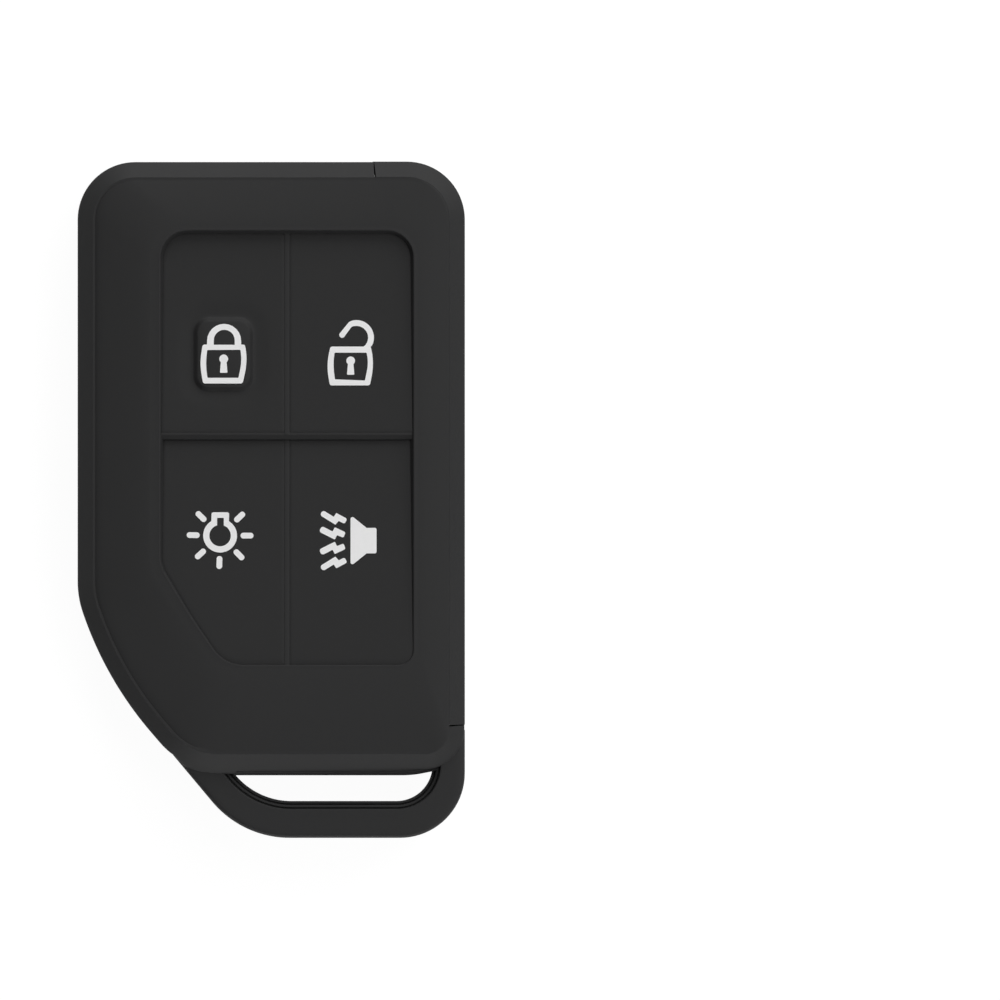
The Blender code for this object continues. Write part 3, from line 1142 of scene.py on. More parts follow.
@dataclass
class KeyPlate:
    """One key: its plate, drafted to its place in the keypad, and the nub that presses the fob."""

    name: str
    body: Body
    sizes: CoverSizes
    corners: Sequence[Corner]
    press: Vector

    # The face's edge and the flat margin inside it
    edge: float = 0.000018
    edge_steps: int = 3
    outline_steps: int = 10
    margin_share: float = 0.05

    # The thick block under the plate, drawn in towards the press point, and the thin web round it
    block_share: float = 0.18
    block_foot_share: float = 0.216
    web_depth: float = 0.0018

    # The nub under the press point
    nub_radius: float = 0.0025
    nub_reach: float = 0.0003
    nub_steps: int = 40

    def face(self, place: Vector) -> float:
        """The height of the key's face.

        Args:
            place: The place in plan. Beyond the key's own row it counts as the row's end.

        Returns:
            The height.
        """
        s = self.sizes
        inside = max(place.y, s.shelf) if self.press.y > s.shelf else min(place.y, s.step)
        return s.thickness - s.key_depth(inside)

    def _crest(self, stations: Sequence[Station]) -> list[list[Vector]]:
        """Further rings on the face, innermost last. The first keeps the face flat up to its edge."""
        inner = [p.point.lerp(self.press, self.margin_share) for p in stations]
        return [[Vector((*point, self.face(point))) for point in inner]]

    def _stations(self) -> list[Station]:
        """The stations of the plate's outline."""
        return Outline(self.corners, self.outline_steps).stations()

    def plate_mesh(self) -> bmesh.types.BMesh:
        """The plate, from the block on its inner side to its face.

        Returns:
            The mesh.
        """
        s = self.sizes
        stations = self._stations()
        margin = s.thickness - self.web_depth
        levels = [(self.block_foot_share, s.roof), (self.block_share, margin), (0.0, margin)]
        rings = [
            [Vector((*p.point.lerp(self.press, share), z)) for p in stations] for share, z in levels
        ]
        for k in range(self.edge_steps + 1):
            turn = math.pi / 2 * k / self.edge_steps
            inset, drop = self.edge * (1 - math.cos(turn)), self.edge * (1 - math.sin(turn))
            rings.append([Vector((*p.inset(inset), self.face(p.point) - drop)) for p in stations])
        return loft([*rings, *self._crest(stations)])

    def nub_mesh(self) -> bmesh.types.BMesh:
        """The round nub under the plate, with an eased end.

        Returns:
            The mesh.
        """
        s, radius = self.sizes, self.nub_radius
        low, high = s.roof - self.nub_reach, s.thickness - self.web_depth
        eased = self.nub_reach / 2
        turns = [2 * math.pi * k / self.nub_steps for k in range(self.nub_steps)]
        spokes = [Vector((math.cos(turn), math.sin(turn))) for turn in turns]
        levels = [(radius - eased, low), (radius, low + eased), (radius + eased, high)]
        return loft([[Vector((*(spoke * r + self.press), z)) for spoke in spokes] for r, z in levels])

    def dress(self, dresser: Dresser) -> None:
        """Makes the plate and its nub."""
        dresser.piece(self.name + "_plate", self.plate_mesh(), self.body, Slot.KEYS, self.name)
        dresser.piece(self.name + "_nub", self.nub_mesh(), self.body, Slot.KEYS)


@dataclass
class PaddedKeyPlate(KeyPlate):
    """The key with a raised square round its sign, which stands in a shallow dish."""

    # The pad and the slope up to it, and the dish round it
    pad_width: float = 0.0068
    pad_length: float = 0.0084
    pad_radius: float = 0.0018
    pad_height: float = 0.00032
    pad_slope: float = 0.00060
    dish_width: float = 0.0021
    dish_depth: float = 0.00008
    dish_steps: int = 6
    slope_steps: int = 8

    # How often a stretch is halved to find the pad's edge, and the largest turn from station to station
    halvings: int = 24
    fineness: float = 0.035

    def _stations(self) -> list[Station]:
        """The plate's stations, with more of them where they are far apart as seen from the pad.

        Returns:
            The stations in order.
        """
        plain = super()._stations()
        found = []
        for last, here in zip([plain[-1], *plain], plain):
            angle = (last.point - self.press).angle(here.point - self.press)
            count = max(1, math.ceil(angle / self.fineness))
            for k in range(1, count + 1):
                normal = last.normal.lerp(here.normal, k / count).normalized()
                found.append(Station(last.point.lerp(here.point, k / count), normal))
        return found

    def _pad_edge(self, towards: Vector, outset: float) -> Vector:
        """Finds a point outside the pad's rounded outline, by halving the stretch that it lies in.

        Args:
            towards: The direction from the pad's middle.
            outset: The distance outside the outline.

        Returns:
            The point.
        """
        half = Vector((self.pad_width / 2 - self.pad_radius, self.pad_length / 2 - self.pad_radius))
        near, far = 0.0, self.pad_length + outset
        for _ in range(self.halvings):
            reach = (near + far) / 2
            beyond = [max(abs(part) * reach - side, 0.0) for part, side in zip(towards, half)]
            if math.hypot(*beyond) < self.pad_radius + outset:
                near = reach
            else:
                far = reach
        return self.press + towards * near

    def _crest(self, stations: Sequence[Station]) -> list[list[Vector]]:
        """Rings over the dish and up onto the pad.

        Args:
            stations: The stations of the plate's outline.

        Returns:
            The rings, innermost last.
        """
        ways = [k / self.dish_steps for k in range(self.dish_steps)]
        climbs = [k / self.slope_steps for k in range(self.slope_steps + 1)]
        rise = self.pad_height + self.dish_depth
        levels = [(self.dish_width * (1 - way), -self.dish_depth * smooth(way)) for way in ways]
        levels += [(-self.pad_slope * way, rise * smooth(way) - self.dish_depth) for way in climbs]
        rings = super()._crest(stations)
        for outset, up in levels:
            edge = [self._pad_edge((p.point - self.press).normalized(), outset) for p in stations]
            rings.append([Vector((*point, self.face(point) + up)) for point in edge])
        return rings


@dataclass
class Keypad:
    """The four key plates, each in its place between the webs and the keypad's edge."""

    sizes: CoverSizes
    shell: SleeveShell

    # Where the keys are pressed, from the keypad's sides and from its head
    press_in: float = 0.0070
    upper_press_down: float = 0.01375
    lower_press_down: float = 0.03415

    # The gap round each plate, and the radius of its corners at the webs
    gap: float = 0.000007
    small: float = 0.00016

    def press(self, right: bool, lower: bool) -> Vector:
        """The point where a key is pressed.

        Args:
            right: Whether the key is on the right.
            lower: Whether it is in the lower row.

        Returns:
            The point in plan.
        """
        s = self.sizes
        x = s.panel_x[1] - self.press_in if right else s.panel_x[0] + self.press_in
        down = self.lower_press_down if lower else self.upper_press_down
        return Vector((x, s.panel_y[1] - down))

    def _edge(self, kept: Callable[[Vector], bool]) -> list[Corner]:
        """The part of the keypad's edge that a plate follows, at the foot of the drafted wall.

        Args:
            kept: Whether a point of the keypad's edge is beside the plate.

        Returns:
            The points in order, anticlockwise.
        """
        panel = self.shell.panel
        start = next(i for i, p in enumerate(panel) if not kept(p.point))
        found = []
        for p in (*panel[start:], *panel[:start]):
            if kept(p.point):
                wall = self.sizes.wall_draft * self.sizes.key_depth(p.point.y) + self.gap
                found.append(Corner(*p.inset(wall)))
        return found

    def plates(self) -> list[KeyPlate]:
        """The four key plates.

        Returns:
            The plates, the upper row first.
        """
        s, small = self.sizes, self.small
        (left, right), (foot, head) = s.panel_x, s.panel_y
        web_left, web_right = (s.web_x + side * (s.web_half + self.gap) for side in (-1, 1))
        shelf, step = s.shelf + self.gap, s.step - self.gap
        high, mid, top, low = (s.wall_draft * s.key_depth(y) + self.gap for y in (shelf, step, head, foot))
        lock = self._edge(lambda p: p.x < web_left - small and p.y > shelf + small)
        unlock = self._edge(lambda p: p.x > web_right + small and p.y > shelf + small)
        lamp = self._edge(lambda p: p.x < web_left - small and p.y < step - small)
        horn = self._edge(lambda p: p.x > web_right + small and p.y < step - small)
        corners = {
            Body.LOCK: [
                Corner(web_left, shelf, small),
                Corner(web_left, head - top, small),
                *lock,
                Corner(left + high, shelf, small),
            ],
            Body.UNLOCK: [
                Corner(right - high, shelf, small),
                *unlock,
                Corner(web_right, head - top, small),
                Corner(web_right, shelf, small),
            ],
            Body.LAMP: [
                Corner(web_left, foot + low, small),
                Corner(web_left, step, small),
                Corner(left + mid, step, small),
                *lamp,
            ],
            Body.HORN: [
                *horn,
                Corner(right - mid, step, small),
                Corner(web_right, step, small),
                Corner(web_right, foot + low, small),
            ],
        }
        made = []
        for body, edge in corners.items():
            kind = PaddedKeyPlate if body is Body.LOCK else KeyPlate
            press = self.press(body in (Body.UNLOCK, Body.HORN), body in (Body.LAMP, Body.HORN))
            made.append(kind(body.value + "_key", body, s, edge, press))
        return made


# The key ring loop


@dataclass(frozen=True)
class SlotLip:
    """Two terraces in a slot's wall, each with a slit at its foot.

    Widths are measured outwards from the lip's edge, and depths from the face that the slot is cut into.
    """

    width: float = 0.0009
    shelf: float = 0.00045
    shelf_down: float = 0.0008
    lip_down: float = 0.0016
    rim: float = 0.00010
    small: float = 0.00007
    slit: float = 0.00011
    slit_down: float = 0.0003
    steps: int = 4

    def profile(self, face: float) -> list[Vector]:
        """Half of the slot wall's section, from a face of the loop to its middle.

        Args:
            face: Height of the face over the loop's middle.

        Returns:
            The points, as outward distance from the lip's edge and height over the middle.
        """
        fine = self.small / 4
        corners = [Corner(self.width + 2 * self.rim, face), Corner(self.width, face, self.rim)]
        terraces = (
            (self.width - self.small, face - self.shelf_down, self.shelf),
            (self.shelf - self.small / 2, face - self.lip_down, 0.0),
        )
        for wall, level, brink in terraces:
            corners += [
                Corner(wall, level - self.slit_down, fine),
                Corner(wall - self.slit, level - self.slit_down, fine),
                Corner(wall - self.slit - fine, level + fine, fine),
                Corner(brink, level, self.small),
            ]
        return eased_path([*corners, Corner(0.0, 0.0)], self.steps)


@dataclass
class KeyRingLoop:
    """The loop under the body, flush with its bevels, with a slot whose wall steps down to a lip."""

    sizes: CoverSizes
    shell: SleeveShell

    # How far the faces stand over the bevels' edges, and sink where the front bevel flares
    rise: float = 0.00012
    flare_sink: float = 0.00045

    # The outside, whose left end is from the body's left foot
    left_end: tuple[float, float] = (0.0106, 0.0016)
    foot_in: float = 0.0183
    left_radius: float = 0.0112
    right_radius: float = 0.0072
    face_edge: float = 0.0005
    face_steps: int = 6

    # The slot under the body's foot, and the terraces of its wall
    slot_down: float = 0.00065
    slot_height: float = 0.00285
    slot_right_bar: float = 0.0036
    slot_foot_in: float = 0.0199
    slot_left_radius: float = 0.0081
    slot_right_radius: float = 0.0040
    slot_head_turn: float = 0.0058
    slot_head_slope: float = 0.20
    slot_head_radius: float = 0.0120
    slot_head_end: float = 0.0031
    slot_end: float = 0.0008
    slant: float = 0.819
    lip: SlotLip = SlotLip()

    # The strip over the slot, and its grooves' distances from the slot's edge
    strip_in: float = 0.0002
    strip_sink: float = 0.00001
    strip_steps: int = 2
    grooves: tuple[float, ...] = (0.00048, 0.00026)
    groove_width: float = 0.00012
    groove_depth: float = 0.00009
    small: float = 0.00002

    # How far the strip runs on into the body, and twice as far as it runs on into the loop
    bury: float = 0.0005

    def _walk(self, corners: Sequence[Corner]) -> list[Station]:
        """Walks an open run of corners, anticlockwise round the foot of the cover.

        Args:
            corners: The corners, with the run's two ends.

        Returns:
            The stations along the run.
        """
        points = eased_path(corners, ARC_STEPS)
        found = []
        for i, point in enumerate(points):
            before, after = points[max(i - 1, 0)], points[min(i + 1, len(points) - 1)]
            run = (after - before).normalized()
            found.append(Station(point, Vector((run.y, -run.x))))
        return found

    def _outer(self) -> list[Station]:
        """The loop's outside.

        Returns:
            The stations, from inside the body's wall on the left to inside it on the right.
        """
        s = self.sizes
        return self._walk(
            [
                Corner(s.left + self.left_end[0], s.foot + self.left_end[1]),
                Corner(s.left + self.foot_in, s.loop_foot, self.left_radius),
                Corner(s.right, s.loop_foot, self.right_radius),
                Corner(s.right, s.foot + self.shell.foot_radius),
            ]
        )

    def _slot_ends(self) -> tuple[Corner, Corner]:
        """The corners of the slot's foot.

        Returns:
            The left one and the right one.
        """
        s = self.sizes
        foot = s.foot - self.slot_down - self.slot_height
        left, right = s.left + self.slot_foot_in, s.right - self.slot_right_bar
        return Corner(left, foot, self.slot_left_radius), Corner(right, foot, self.slot_right_radius)

    def _slanted(self, y: float) -> Corner:
        """The point at a height on the slanted left side of the slot."""
        foot = self._slot_ends()[0]
        return Corner(foot.x - self.slant * (y - foot.y), y)

    def _inner(self) -> list[Station]:
        """The slot's lip.

        Returns:
            The stations, with both ends inside the body's wall.
        """
        head = self.sizes.foot + self.slot_end
        left, right = self._slot_ends()
        return self._walk([self._slanted(head), left, right, Corner(right.x, head)])

    def _bevel_foot(self, x: float) -> tuple[float, float]:
        """How far the outer edges of the front and the rear bevel are from the loop's middle there."""
        s, reach = self.sizes, self.sizes.thickness / 2 - self.shell.bevel_drop
        return s.rim_height(x) - s.thickness + reach, reach - s.rear_rise

    def _faces(self, x: float) -> tuple[float, float]:
        """How far the loop's faces are from its middle: they follow the edges of the bevels beside them.

        Args:
            x: The place across the cover.

        Returns:
            The distances of the front and the rear face.
        """
        s, shell = self.sizes, self.shell
        last = s.left + shell.flare_last
        beyond = max(0.0, (x - last) / (s.right - last))
        front, rear = self._bevel_foot(x)
        front += (self.rise + self.flare_sink) * beyond - self.flare_sink * shell.flare_share(x)
        return front, rear + self.rise

    def _strip_profile(self, face: float) -> list[Vector]:
        """Half of the section of the strip that carries the bevel on to the slot, with its grooves.

        Args:
            face: Height of the bevel's outer edge over the loop's middle.

        Returns:
            The points, as outward distance from the slot's edge and height over the middle.
        """
        slope = self.shell.bevel_drop / self.shell.bevel_width
        half, small = self.groove_width / 2, self.small

        def spot(out: float, down: float = 0.0) -> Corner:
            """A corner on the bevel's slope, or under it."""
            return Corner(out, face + (out - self.slot_down) * slope - self.strip_sink - down, small)

        corners = [spot(self.slot_down + self.strip_in)]
        for out in self.grooves:
            corners += [spot(out + half), spot(out, self.groove_depth), spot(out - half)]
        return eased_path([*corners, spot(0.0), Corner(0.0, 0.0)], self.strip_steps)

    def _sections(
        self,
        out: Sequence[Station],
        into: Sequence[Station],
        edge: float,
        faces: Callable[[float], tuple[float, float]],
        profile: Callable[[float], list[Vector]],
    ) -> list[list[Vector]]:
        """Sections between an outer and an inner run of stations.

        Args:
            out: The outer stations, each with its inner one.
            into: The stations of the slot's edge.
            edge: Radius of the outer edges.
            faces: Gives the distances of the two faces from the middle, at a place across the cover.
            profile: Gives half of the inner wall's section under a face.

        Returns:
            The sections, from one end to the other.
        """
        middle = self.sizes.thickness / 2
        sections = []
        for outside, inside in zip(out, into):
            walls, rims = [], []
            for side, face in zip((1, -1), faces(inside.point.x)):
                corners = [Corner(2 * edge, face), Corner(0.0, face, edge), Corner(0.0, 0.0)]
                rim = eased_path(corners, self.face_steps)
                walls.append([Vector((*inside.inset(-p.x), middle + side * p.y)) for p in profile(face)])
                rims.append([Vector((*outside.inset(p.x), middle + side * p.y)) for p in rim])
            wall = [*walls[0], *reversed(walls[1][:-1])]
            sections.append([*wall, *rims[1], *reversed(rims[0][:-1])])
        return sections

    def mesh(self) -> bmesh.types.BMesh:
        """The loop, swept round its slot."""
        sections = self._sections(self._outer(), self._inner(), self.face_edge, self._faces, self.lip.profile)
        return loft(sections)

    def head_lip_mesh(self) -> bmesh.types.BMesh:
        """The strip along the body's foot, which rises a little towards its right end.

        Returns:
            The mesh.
        """
        s = self.sizes
        head = s.foot - self.slot_down
        climb = (self.slot_head_turn - self.slot_head_end) * self.slot_head_slope
        start = Corner(s.right - self.slot_head_end, head + climb)
        turn = Corner(s.right - self.slot_head_turn, head, self.slot_head_radius)
        inner = self._walk([start, turn, Corner(self._slanted(head).x - self.bury / 2, head)])
        outer = [Station(p.inset(-self.bury - self.slot_down), p.normal) for p in inner]
        return loft(self._sections(outer, inner, self.small, self._bevel_foot, self._strip_profile))

    def dress(self, dresser: Dresser) -> None:
        """Makes the loop and the strip over its slot."""
        dresser.piece("key_ring_loop", self.mesh(), Body.COVER, Slot.SLEEVE, "sleeve")
        dresser.piece("slot_head_lip", self.head_lip_mesh(), Body.COVER, Slot.SLEEVE, "sleeve")


# The printed signs


@dataclass(frozen=True)
class Island:
    """One printed area: its edge and the edges of the bare places in it."""

    edge: Outline
    holes: tuple[Outline, ...] = ()

    def fill(self) -> tuple[list[list[Vector]], list[list[int]]]:
        """Fills the area with triangles, sorted so that they come in the same order in every run.

        Returns:
            The points of each outline, and the triangles as numbers of points.
        """
        loops = [outline.path() for outline in (self.edge, *self.holes)]
        flat = bmesh.new()
        for loop in loops:
            verts = [flat.verts.new((*p, 0.0)) for p in loop]
            for i, vert in enumerate(verts):
                flat.edges.new((verts[i - 1], vert))
        bmesh.ops.triangle_fill(flat, use_beauty=True, use_dissolve=False, edges=flat.edges)
        flat.verts.index_update()
        triangles = sorted(sorted(vert.index for vert in face.verts) for face in flat.faces)
        flat.free()
        return loops, triangles


@dataclass
class Sign:
    """A sign printed on a key: drawn about the key's press point, in thick ink that follows the face."""

    plate: KeyPlate
    ink: bpy.types.Material
    rise: float = 0.00004
    sink: float = 0.00008

    def _at(self, corners: Sequence[Corner]) -> Outline:
        """An outline drawn about the press point."""
        press = self.plate.press
        return Outline([Corner(press.x + c.x, press.y + c.y, c.radius) for c in corners], SIGN_STEPS)

    def islands(self) -> list[Island]:
        """The sign's printed areas."""
        raise NotImplementedError

    def height(self, place: Vector) -> float:
        """The height of the surface that the sign is printed on."""
        return self.plate.face(place)

    def mesh(self) -> bmesh.types.BMesh:
        """The ink, as a thin body let into the face and just proud of it.

        Returns:
            The mesh, one closed body for each printed area.
        """
        mesh = bmesh.new()
        for island in self.islands():
            loops, triangles = island.fill()
            points = [point for loop in loops for point in loop]
            foot, top = (
                [mesh.verts.new((*point, self.height(point) + up)) for point in points]
                for up in (-self.sink, self.rise)
            )
            for level in (foot, top):
                for triangle in triangles:
                    mesh.faces.new([level[i] for i in triangle])
            first = 0
            for loop in loops:
                last = first + len(loop)
                band(mesh, (foot[first:last], top[first:last]), closed=True)
                first = last
        bmesh.ops.recalc_face_normals(mesh, faces=mesh.faces)
        return mesh

    def dress(self, dresser: Dresser) -> None:
        """Makes the sign."""
        plate = self.plate
        dresser.piece(plate.name + "_sign", self.mesh(), plate.body, Slot.KEYS, finish=self.ink)


@dataclass(frozen=True)
class Keyhole:
    """A keyhole: a round hole over a flared slot."""

    centre: tuple[float, float]
    radius: float
    waist: float
    hem: float
    length: float
    hem_radius: float = 0.00008
    steps: int = 20

    def corners(self) -> list[Corner]:
        """The keyhole's edge.

        Returns:
            The corners, anticlockwise.
        """
        lean = math.degrees(math.asin(self.waist / self.radius))
        ring = arc(self.centre, self.radius, -90 + lean, 270 - lean, self.steps)
        x, y = self.centre
        foot = [Corner(x + side * self.hem, y - self.length, self.hem_radius) for side in (-1, 1)]
        return [*ring, *foot]


@dataclass
class LockSign(Sign):
    """A closed padlock, on the pad."""

    keyhole: Keyhole = Keyhole((0.00002, -0.00051), 0.00049, 0.00032, 0.00042, 0.00154)

    def height(self, place: Vector) -> float:
        """The top of the pad."""
        return self.plate.face(place) + self.plate.pad_height

    def islands(self) -> list[Island]:
        """The padlock's frame with its bow, and its keyhole.

        Returns:
            The two printed areas.
        """
        edge = [
            Corner(-0.00227, -0.00324, 0.00028),
            Corner(0.00212, -0.00324, 0.00028),
            Corner(0.00270, -0.00061, 0.0070),
            Corner(0.00237, 0.00108, 0.00025),
            Corner(0.00196, 0.00108, 0.00008),
            Corner(0.00196, 0.00338, 0.00189),
            Corner(-0.00183, 0.00338, 0.00189),
            Corner(-0.00183, 0.00108, 0.00008),
            Corner(-0.00231, 0.00108, 0.00025),
            Corner(-0.00266, -0.00105, 0.0070),
        ]
        window = [
            Corner(-0.00178, -0.00261, 0.0001),
            Corner(0.00166, -0.00261, 0.0001),
            Corner(0.00204, -0.00072, 0.0060),
            Corner(0.00188, 0.00050, 0.00012),
            Corner(-0.00180, 0.00048, 0.0001),
            Corner(-0.00200, -0.00099, 0.0080),
        ]
        bow = [
            Corner(0.00124, 0.00106, 0.00005),
            Corner(0.00124, 0.00272, 0.00115),
            Corner(-0.00108, 0.00272, 0.00115),
            Corner(-0.00108, 0.00106, 0.00005),
        ]
        return [
            Island(self._at(edge), (self._at(window), self._at(bow))),
            Island(self._at(self.keyhole.corners())),
        ]


@dataclass
class UnlockSign(Sign):
    """An open padlock."""

    keyhole: Keyhole = Keyhole((0.00002, -0.00072), 0.00048, 0.00031, 0.00041, 0.00155)
    bow_centre: tuple[float, float] = (0.00066, 0.00186)
    bow_outer: float = 0.00194
    bow_inner: float = 0.00129
    outer_turn: tuple[float, float] = (-28, 104)
    inner_turn: tuple[float, float] = (101, -42)
    bow_steps: int = 36

    def islands(self) -> list[Island]:
        """The padlock's frame with its raised bow, which ends in a straight stretch, and its keyhole.

        Returns:
            The two printed areas.
        """
        edge = [
            Corner(-0.00229, -0.00345, 0.00025),
            Corner(0.00215, -0.00345, 0.00025),
            Corner(0.00265, -0.00094, 0.0070),
            Corner(0.00224, 0.00086, 0.00005),
            *arc(self.bow_centre, self.bow_outer, *self.outer_turn, self.bow_steps),
            Corner(-0.00016, 0.00360, 0.0006),
            Corner(-0.00138, 0.00210, 0.00031),
            Corner(-0.00087, 0.00170, 0.00031),
            Corner(0.00016, 0.00312, 0.00045),
            *arc(self.bow_centre, self.bow_inner, *self.inner_turn, self.bow_steps),
            Corner(0.00144, 0.00086, 0.00015),
            Corner(-0.00223, 0.00086, 0.00028),
            Corner(-0.00268, -0.00122, 0.0070),
        ]
        window = [
            Corner(-0.00172, -0.00278, 0.00008),
            Corner(0.00160, -0.00291, 0.00008),
            Corner(0.00202, -0.00089, 0.0060),
            Corner(0.00179, 0.00018, 0.00014),
            Corner(-0.00177, 0.00018, 0.00011),
            Corner(-0.00195, -0.00117, 0.0080),
        ]
        return [
            Island(self._at(edge), (self._at(window),)),
            Island(self._at(self.keyhole.corners())),
        ]


@dataclass
class LampSign(Sign):
    """A lamp with its rays."""

    centre: tuple[float, float] = (-0.00038, 0.00027)
    bulb: float = 0.00188
    hollow: float = 0.00119
    neck: float = 0.00098
    neck_aside: float = 0.00004
    neck_top: float = 0.00259
    neck_radius: float = 0.00022
    hollow_neck: float = 0.00037
    hollow_neck_foot: float = 0.001071
    hollow_foot_radius: float = 0.0001
    hollow_foot_turn: float = 4.0
    hollow_top: float = 0.00197
    hollow_top_radius: float = 0.00006
    bulb_steps: int = 48
    hollow_steps: int = 36
    ray_start: float = 0.00227
    ray_end: float = 0.00371
    ray_half: float = 0.00032
    ray_radius: float = 0.000304
    ray_angles: tuple[float, ...] = (-137.0, -91.5, -45.5, 0.0, 43.5, 135.0, 179.0)

    def _ray(self, angle: float) -> Island:
        """One ray.

        Args:
            angle: Its direction in degrees, anticlockwise from +X.

        Returns:
            The printed area.
        """
        turn = Matrix.Rotation(math.radians(angle), 2)
        start, end, half = self.ray_start, self.ray_end, self.ray_half
        box = [(start, -half), (end, -half), (end, half), (start, half)]
        spots = [turn @ Vector(spot) + Vector(self.centre) for spot in box]
        return Island(self._at([Corner(*spot, self.ray_radius) for spot in spots]))

    def islands(self) -> list[Island]:
        """The bulb with its neck, and seven rays.

        Returns:
            The eight printed areas.
        """
        x, y = self.centre[0] + self.neck_aside, self.centre[1]
        outer_lean = math.degrees(math.asin(self.neck / self.bulb))
        inner_lean = math.degrees(math.asin(self.hollow_neck / self.hollow)) + self.hollow_foot_turn
        edge = [
            *arc(self.centre, self.bulb, 90 + outer_lean, 450 - outer_lean, self.bulb_steps),
            Corner(x + self.neck, y + self.neck_top, self.neck_radius),
            Corner(x - self.neck, y + self.neck_top, self.neck_radius),
        ]
        hole = [
            *arc(self.centre, self.hollow, 90 + inner_lean, 450 - inner_lean, self.hollow_steps),
            Corner(x + self.hollow_neck, y + self.hollow_neck_foot, self.hollow_foot_radius),
            Corner(x + self.hollow_neck, y + self.hollow_top, self.hollow_top_radius),
            Corner(x - self.hollow_neck, y + self.hollow_top, self.hollow_top_radius),
            Corner(x - self.hollow_neck, y + self.hollow_neck_foot, self.hollow_foot_radius),
        ]
        return [Island(self._at(edge), (self._at(hole),)), *(self._ray(angle) for angle in self.ray_angles)]


@dataclass
class HornSign(Sign):
    """A horn with four jagged strokes of sound."""

    middle: float = -0.00029
    long_stroke: tuple[Corner, ...] = (
        Corner(-0.00340, 0.00283, 0.00030),
        Corner(-0.00168, 0.00177, 0.00004),
        Corner(-0.00130, 0.00219, 0.00005),
        Corner(-0.00066, 0.00185, 0.00020),
        Corner(-0.00036, 0.00243, 0.00022),
        Corner(-0.00158, 0.00307, 0.00007),
        Corner(-0.00187, 0.00265, 0.00005),
        Corner(-0.00308, 0.00340, 0.00030),
    )
    short_stroke: tuple[Corner, ...] = (
        Corner(-0.00350, 0.00099, 0.00028),
        Corner(-0.00173, 0.00011, 0.00010),
        Corner(-0.00151, 0.00061, 0.00010),
        Corner(-0.00077, 0.00031, 0.00018),
        Corner(-0.00054, 0.00093, 0.00022),
        Corner(-0.00175, 0.00149, 0.00010),
        Corner(-0.00199, 0.00102, 0.00005),
        Corner(-0.00319, 0.00163, 0.00028),
    )
    cone: tuple[Corner, ...] = (
        Corner(0.00289, 0.00142, 0.00020),
        Corner(0.00179, 0.00141, 0.00008),
        Corner(0.0, 0.00286, 0.00022),
    )

    def _mirrored(self, corners: Sequence[Corner]) -> list[Corner]:
        """Corners over the horn's middle, turned over to the other side of it."""
        return [Corner(c.x, -c.y, c.radius) for c in reversed(corners)]

    def _placed(self, corners: Sequence[Corner]) -> Outline:
        """An outline drawn about the horn's middle."""
        return self._at([Corner(c.x, self.middle + c.y, c.radius) for c in corners])

    def islands(self) -> list[Island]:
        """The horn's cone with its driver, and the strokes above and below its middle.

        Returns:
            The five printed areas.
        """
        found = [Island(self._placed([*self.cone, *self._mirrored(self.cone)]))]
        for stroke in (self.long_stroke, self.short_stroke):
            found += [Island(self._placed(stroke)), Island(self._placed(self._mirrored(stroke)))]
        return found


# Each key's sign, by the key's body
SIGNS: dict[Body, type[Sign]] = {
    Body.LOCK: LockSign,
    Body.UNLOCK: UnlockSign,
    Body.LAMP: LampSign,
    Body.HORN: HornSign,
}


# The studio


@dataclass(frozen=True)
class Lamp:
    """A soft rectangular lamp that faces the cover."""

    name: str
    azimuth: float
    elevation: float
    power: float
    width: float = 0.875
    height: float = 0.875
    distance: float = 1.5

    def place(self, target: Vector) -> None:
        """Hangs the lamp, aimed at a point.

        Args:
            target: The point. Azimuth 0 is towards +X and 90 towards +Y from there.
        """
        turn, lift = math.radians(self.azimuth), math.radians(self.elevation)
        away = Vector((math.cos(turn) * math.cos(lift), math.sin(turn) * math.cos(lift), math.sin(lift)))
        data = bpy.data.lights.new(self.name, "AREA")
        data.energy = self.power
        data.shape = "RECTANGLE"
        data.size, data.size_y = self.width, self.height
        made = bpy.data.objects.new(self.name, data)
        made.location = target + away * self.distance
        made.rotation_euler = away.to_track_quat("Z", "Y").to_euler()
        bpy.context.scene.collection.objects.link(made)


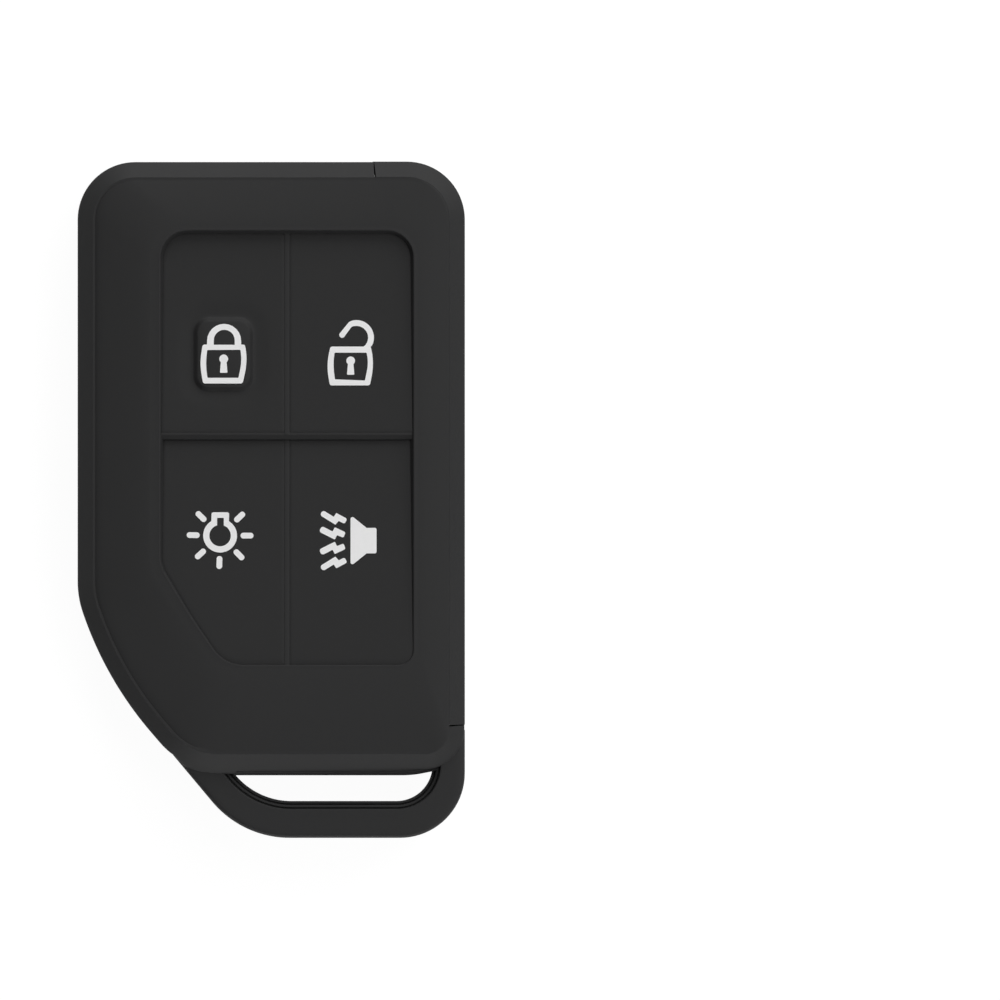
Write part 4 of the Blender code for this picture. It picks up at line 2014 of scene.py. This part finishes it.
@dataclass
class Studio:
    """A pale floor, soft light, and a camera straight above the cover.

    A pixel is a length on the cover. The picture's width and the place of the frame's origin in it,
    from its upper left corner, are in pixels.
    """

    pixel: float = 0.00011104
    picture: int = 1000
    origin_x: float = 271.25
    origin_y: float = 499.75
    camera_height: float = 0.5
    camera_reach: float = 10.0
    floor_width: float = 3.0
    floor_down: float = 0.00002
    floor_shade: float = 0.80
    floor_seen: float = 0.12
    floor_glow: float = 0.95
    sky: float = 0.01
    lamps: tuple[Lamp, ...] = (
        Lamp("side_lamp", 45, 25, 7.5),
        Lamp("high_lamp", 45, 65, 6.3),
        Lamp("head_lamp", 90, 25, 10.3),
        Lamp("left_lamp", 180, 8, 2.6),
        Lamp("corner_lamp", 315, 8, 4.7),
        Lamp("right_lamp", 315, 65, 4.2),
        Lamp("foot_strip", 270, 6, 0.16, 0.25, 0.05, 0.3),
        Lamp("low_strip", 270, -1.5, 0.18, 0.25, 0.02, 0.3),
    )

    def _seen(self, nodes: Nodes, kinds: Sequence[str]) -> bpy.types.NodeSocket:
        """Tells kinds of rays from the others.

        Args:
            nodes: The nodes of a material or of the world.
            kinds: Names of the light path's outputs.

        Returns:
            1 for rays of the given kinds, otherwise 0.
        """
        path = nodes.add("ShaderNodeLightPath")
        total = path.outputs[kinds[0]]
        for kind in kinds[1:]:
            join = nodes.add("ShaderNodeMath")
            join.operation = "MAXIMUM"
            nodes.link(total, join, 0)
            nodes.link(path.outputs[kind], join, 1)
            total = join.outputs[0]
        return total

    def _floor_finish(self) -> bpy.types.Material:
        """Pale paper that the camera sees as white but for the cover's shadow.

        Returns:
            The material.
        """
        made, nodes, _ = blank_material("studio_paper")
        nodes.tree.nodes.clear()
        pale, shaded = (
            nodes.add("ShaderNodeBsdfDiffuse", Color=(shade, shade, shade, 1.0))
            for shade in (self.floor_shade, self.floor_seen)
        )
        glow = nodes.add("ShaderNodeEmission", Strength=self.floor_glow)
        seen = nodes.add("ShaderNodeAddShader")
        nodes.link(shaded.outputs[0], seen, 0)
        nodes.link(glow.outputs[0], seen, 1)
        mix = nodes.add("ShaderNodeMixShader")
        nodes.link(self._seen(nodes, ("Is Camera Ray", "Is Glossy Ray")), mix, 0)
        nodes.link(pale.outputs[0], mix, 1)
        nodes.link(seen.outputs[0], mix, 2)
        end = nodes.add("ShaderNodeOutputMaterial")
        nodes.link(mix.outputs[0], end, "Surface")
        return made

    def _floor(self) -> None:
        """The floor that the cover lies on."""
        half = self.floor_width / 2
        data = bpy.data.meshes.new("studio_floor")
        corners = [(-half, -half, 0.0), (half, -half, 0.0), (half, half, 0.0), (-half, half, 0.0)]
        data.from_pydata(corners, [], [range(len(corners))])
        data.materials.append(self._floor_finish())
        floor = bpy.data.objects.new("studio_floor", data)
        floor.location.z = -self.floor_down
        bpy.context.scene.collection.objects.link(floor)

    def _world(self) -> None:
        """Even light from all round, which the camera sees as white."""
        world = bpy.data.worlds.new("studio_world")
        world.use_nodes = True
        nodes = Nodes(world.node_tree)
        background = nodes.tree.nodes["Background"]
        background.inputs["Color"].default_value = (1.0, 1.0, 1.0, 1.0)
        strength = nodes.between(self._seen(nodes, ("Is Camera Ray",)), self.sky, 1.0)
        nodes.link(strength, background, "Strength")
        bpy.context.scene.world = world

    def _camera(self) -> None:
        """A long lens straight above, framed as the picture is."""
        data = bpy.data.cameras.new("camera")
        data.type = "ORTHO"
        data.ortho_scale = self.pixel * self.picture
        data.clip_end = self.camera_reach
        made = bpy.data.objects.new("camera", data)
        middle = self.picture / 2
        x, y = (middle - self.origin_x) * self.pixel, (self.origin_y - middle) * self.pixel
        made.location = (x, y, self.camera_height)
        bpy.context.scene.collection.objects.link(made)
        bpy.context.scene.camera = made

    def build(self, target: Vector) -> None:
        """Makes the studio.

        Args:
            target: The point that the lamps face.
        """
        self._camera()
        self._world()
        self._floor()
        for lamp in self.lamps:
            lamp.place(target)
        bpy.context.scene.view_settings.view_transform = "Standard"
        log.info("studio: %d lamps", len(self.lamps))


def main() -> None:
    """Builds and dresses the cover, then the studio round it."""
    logging.basicConfig(level=logging.INFO, format="%(name)s: %(message)s")
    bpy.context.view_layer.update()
    sizes = CoverSizes()
    silicone = SiliconeFinish("moulded_silicone").material()
    key_silicone = SiliconeFinish("key_silicone", shade=0.0180, patch_shade=0.0206).material()
    ink = InkFinish("white_ink").material()
    dresser = Dresser({Slot.SLEEVE: silicone, Slot.FLAP: silicone, Slot.KEYS: key_silicone})
    shell = SleeveShell(sizes)
    shell.dress(dresser)
    KeyRingLoop(sizes, shell).dress(dresser)
    KeypadWebs(sizes).dress(dresser)
    for plate in Keypad(sizes, shell).plates():
        plate.dress(dresser)
        SIGNS[plate.body](plate, ink).dress(dresser)
    Studio().build(Vector((0.0, 0.0, sizes.thickness)))


if __name__ == "__main__":
    main()
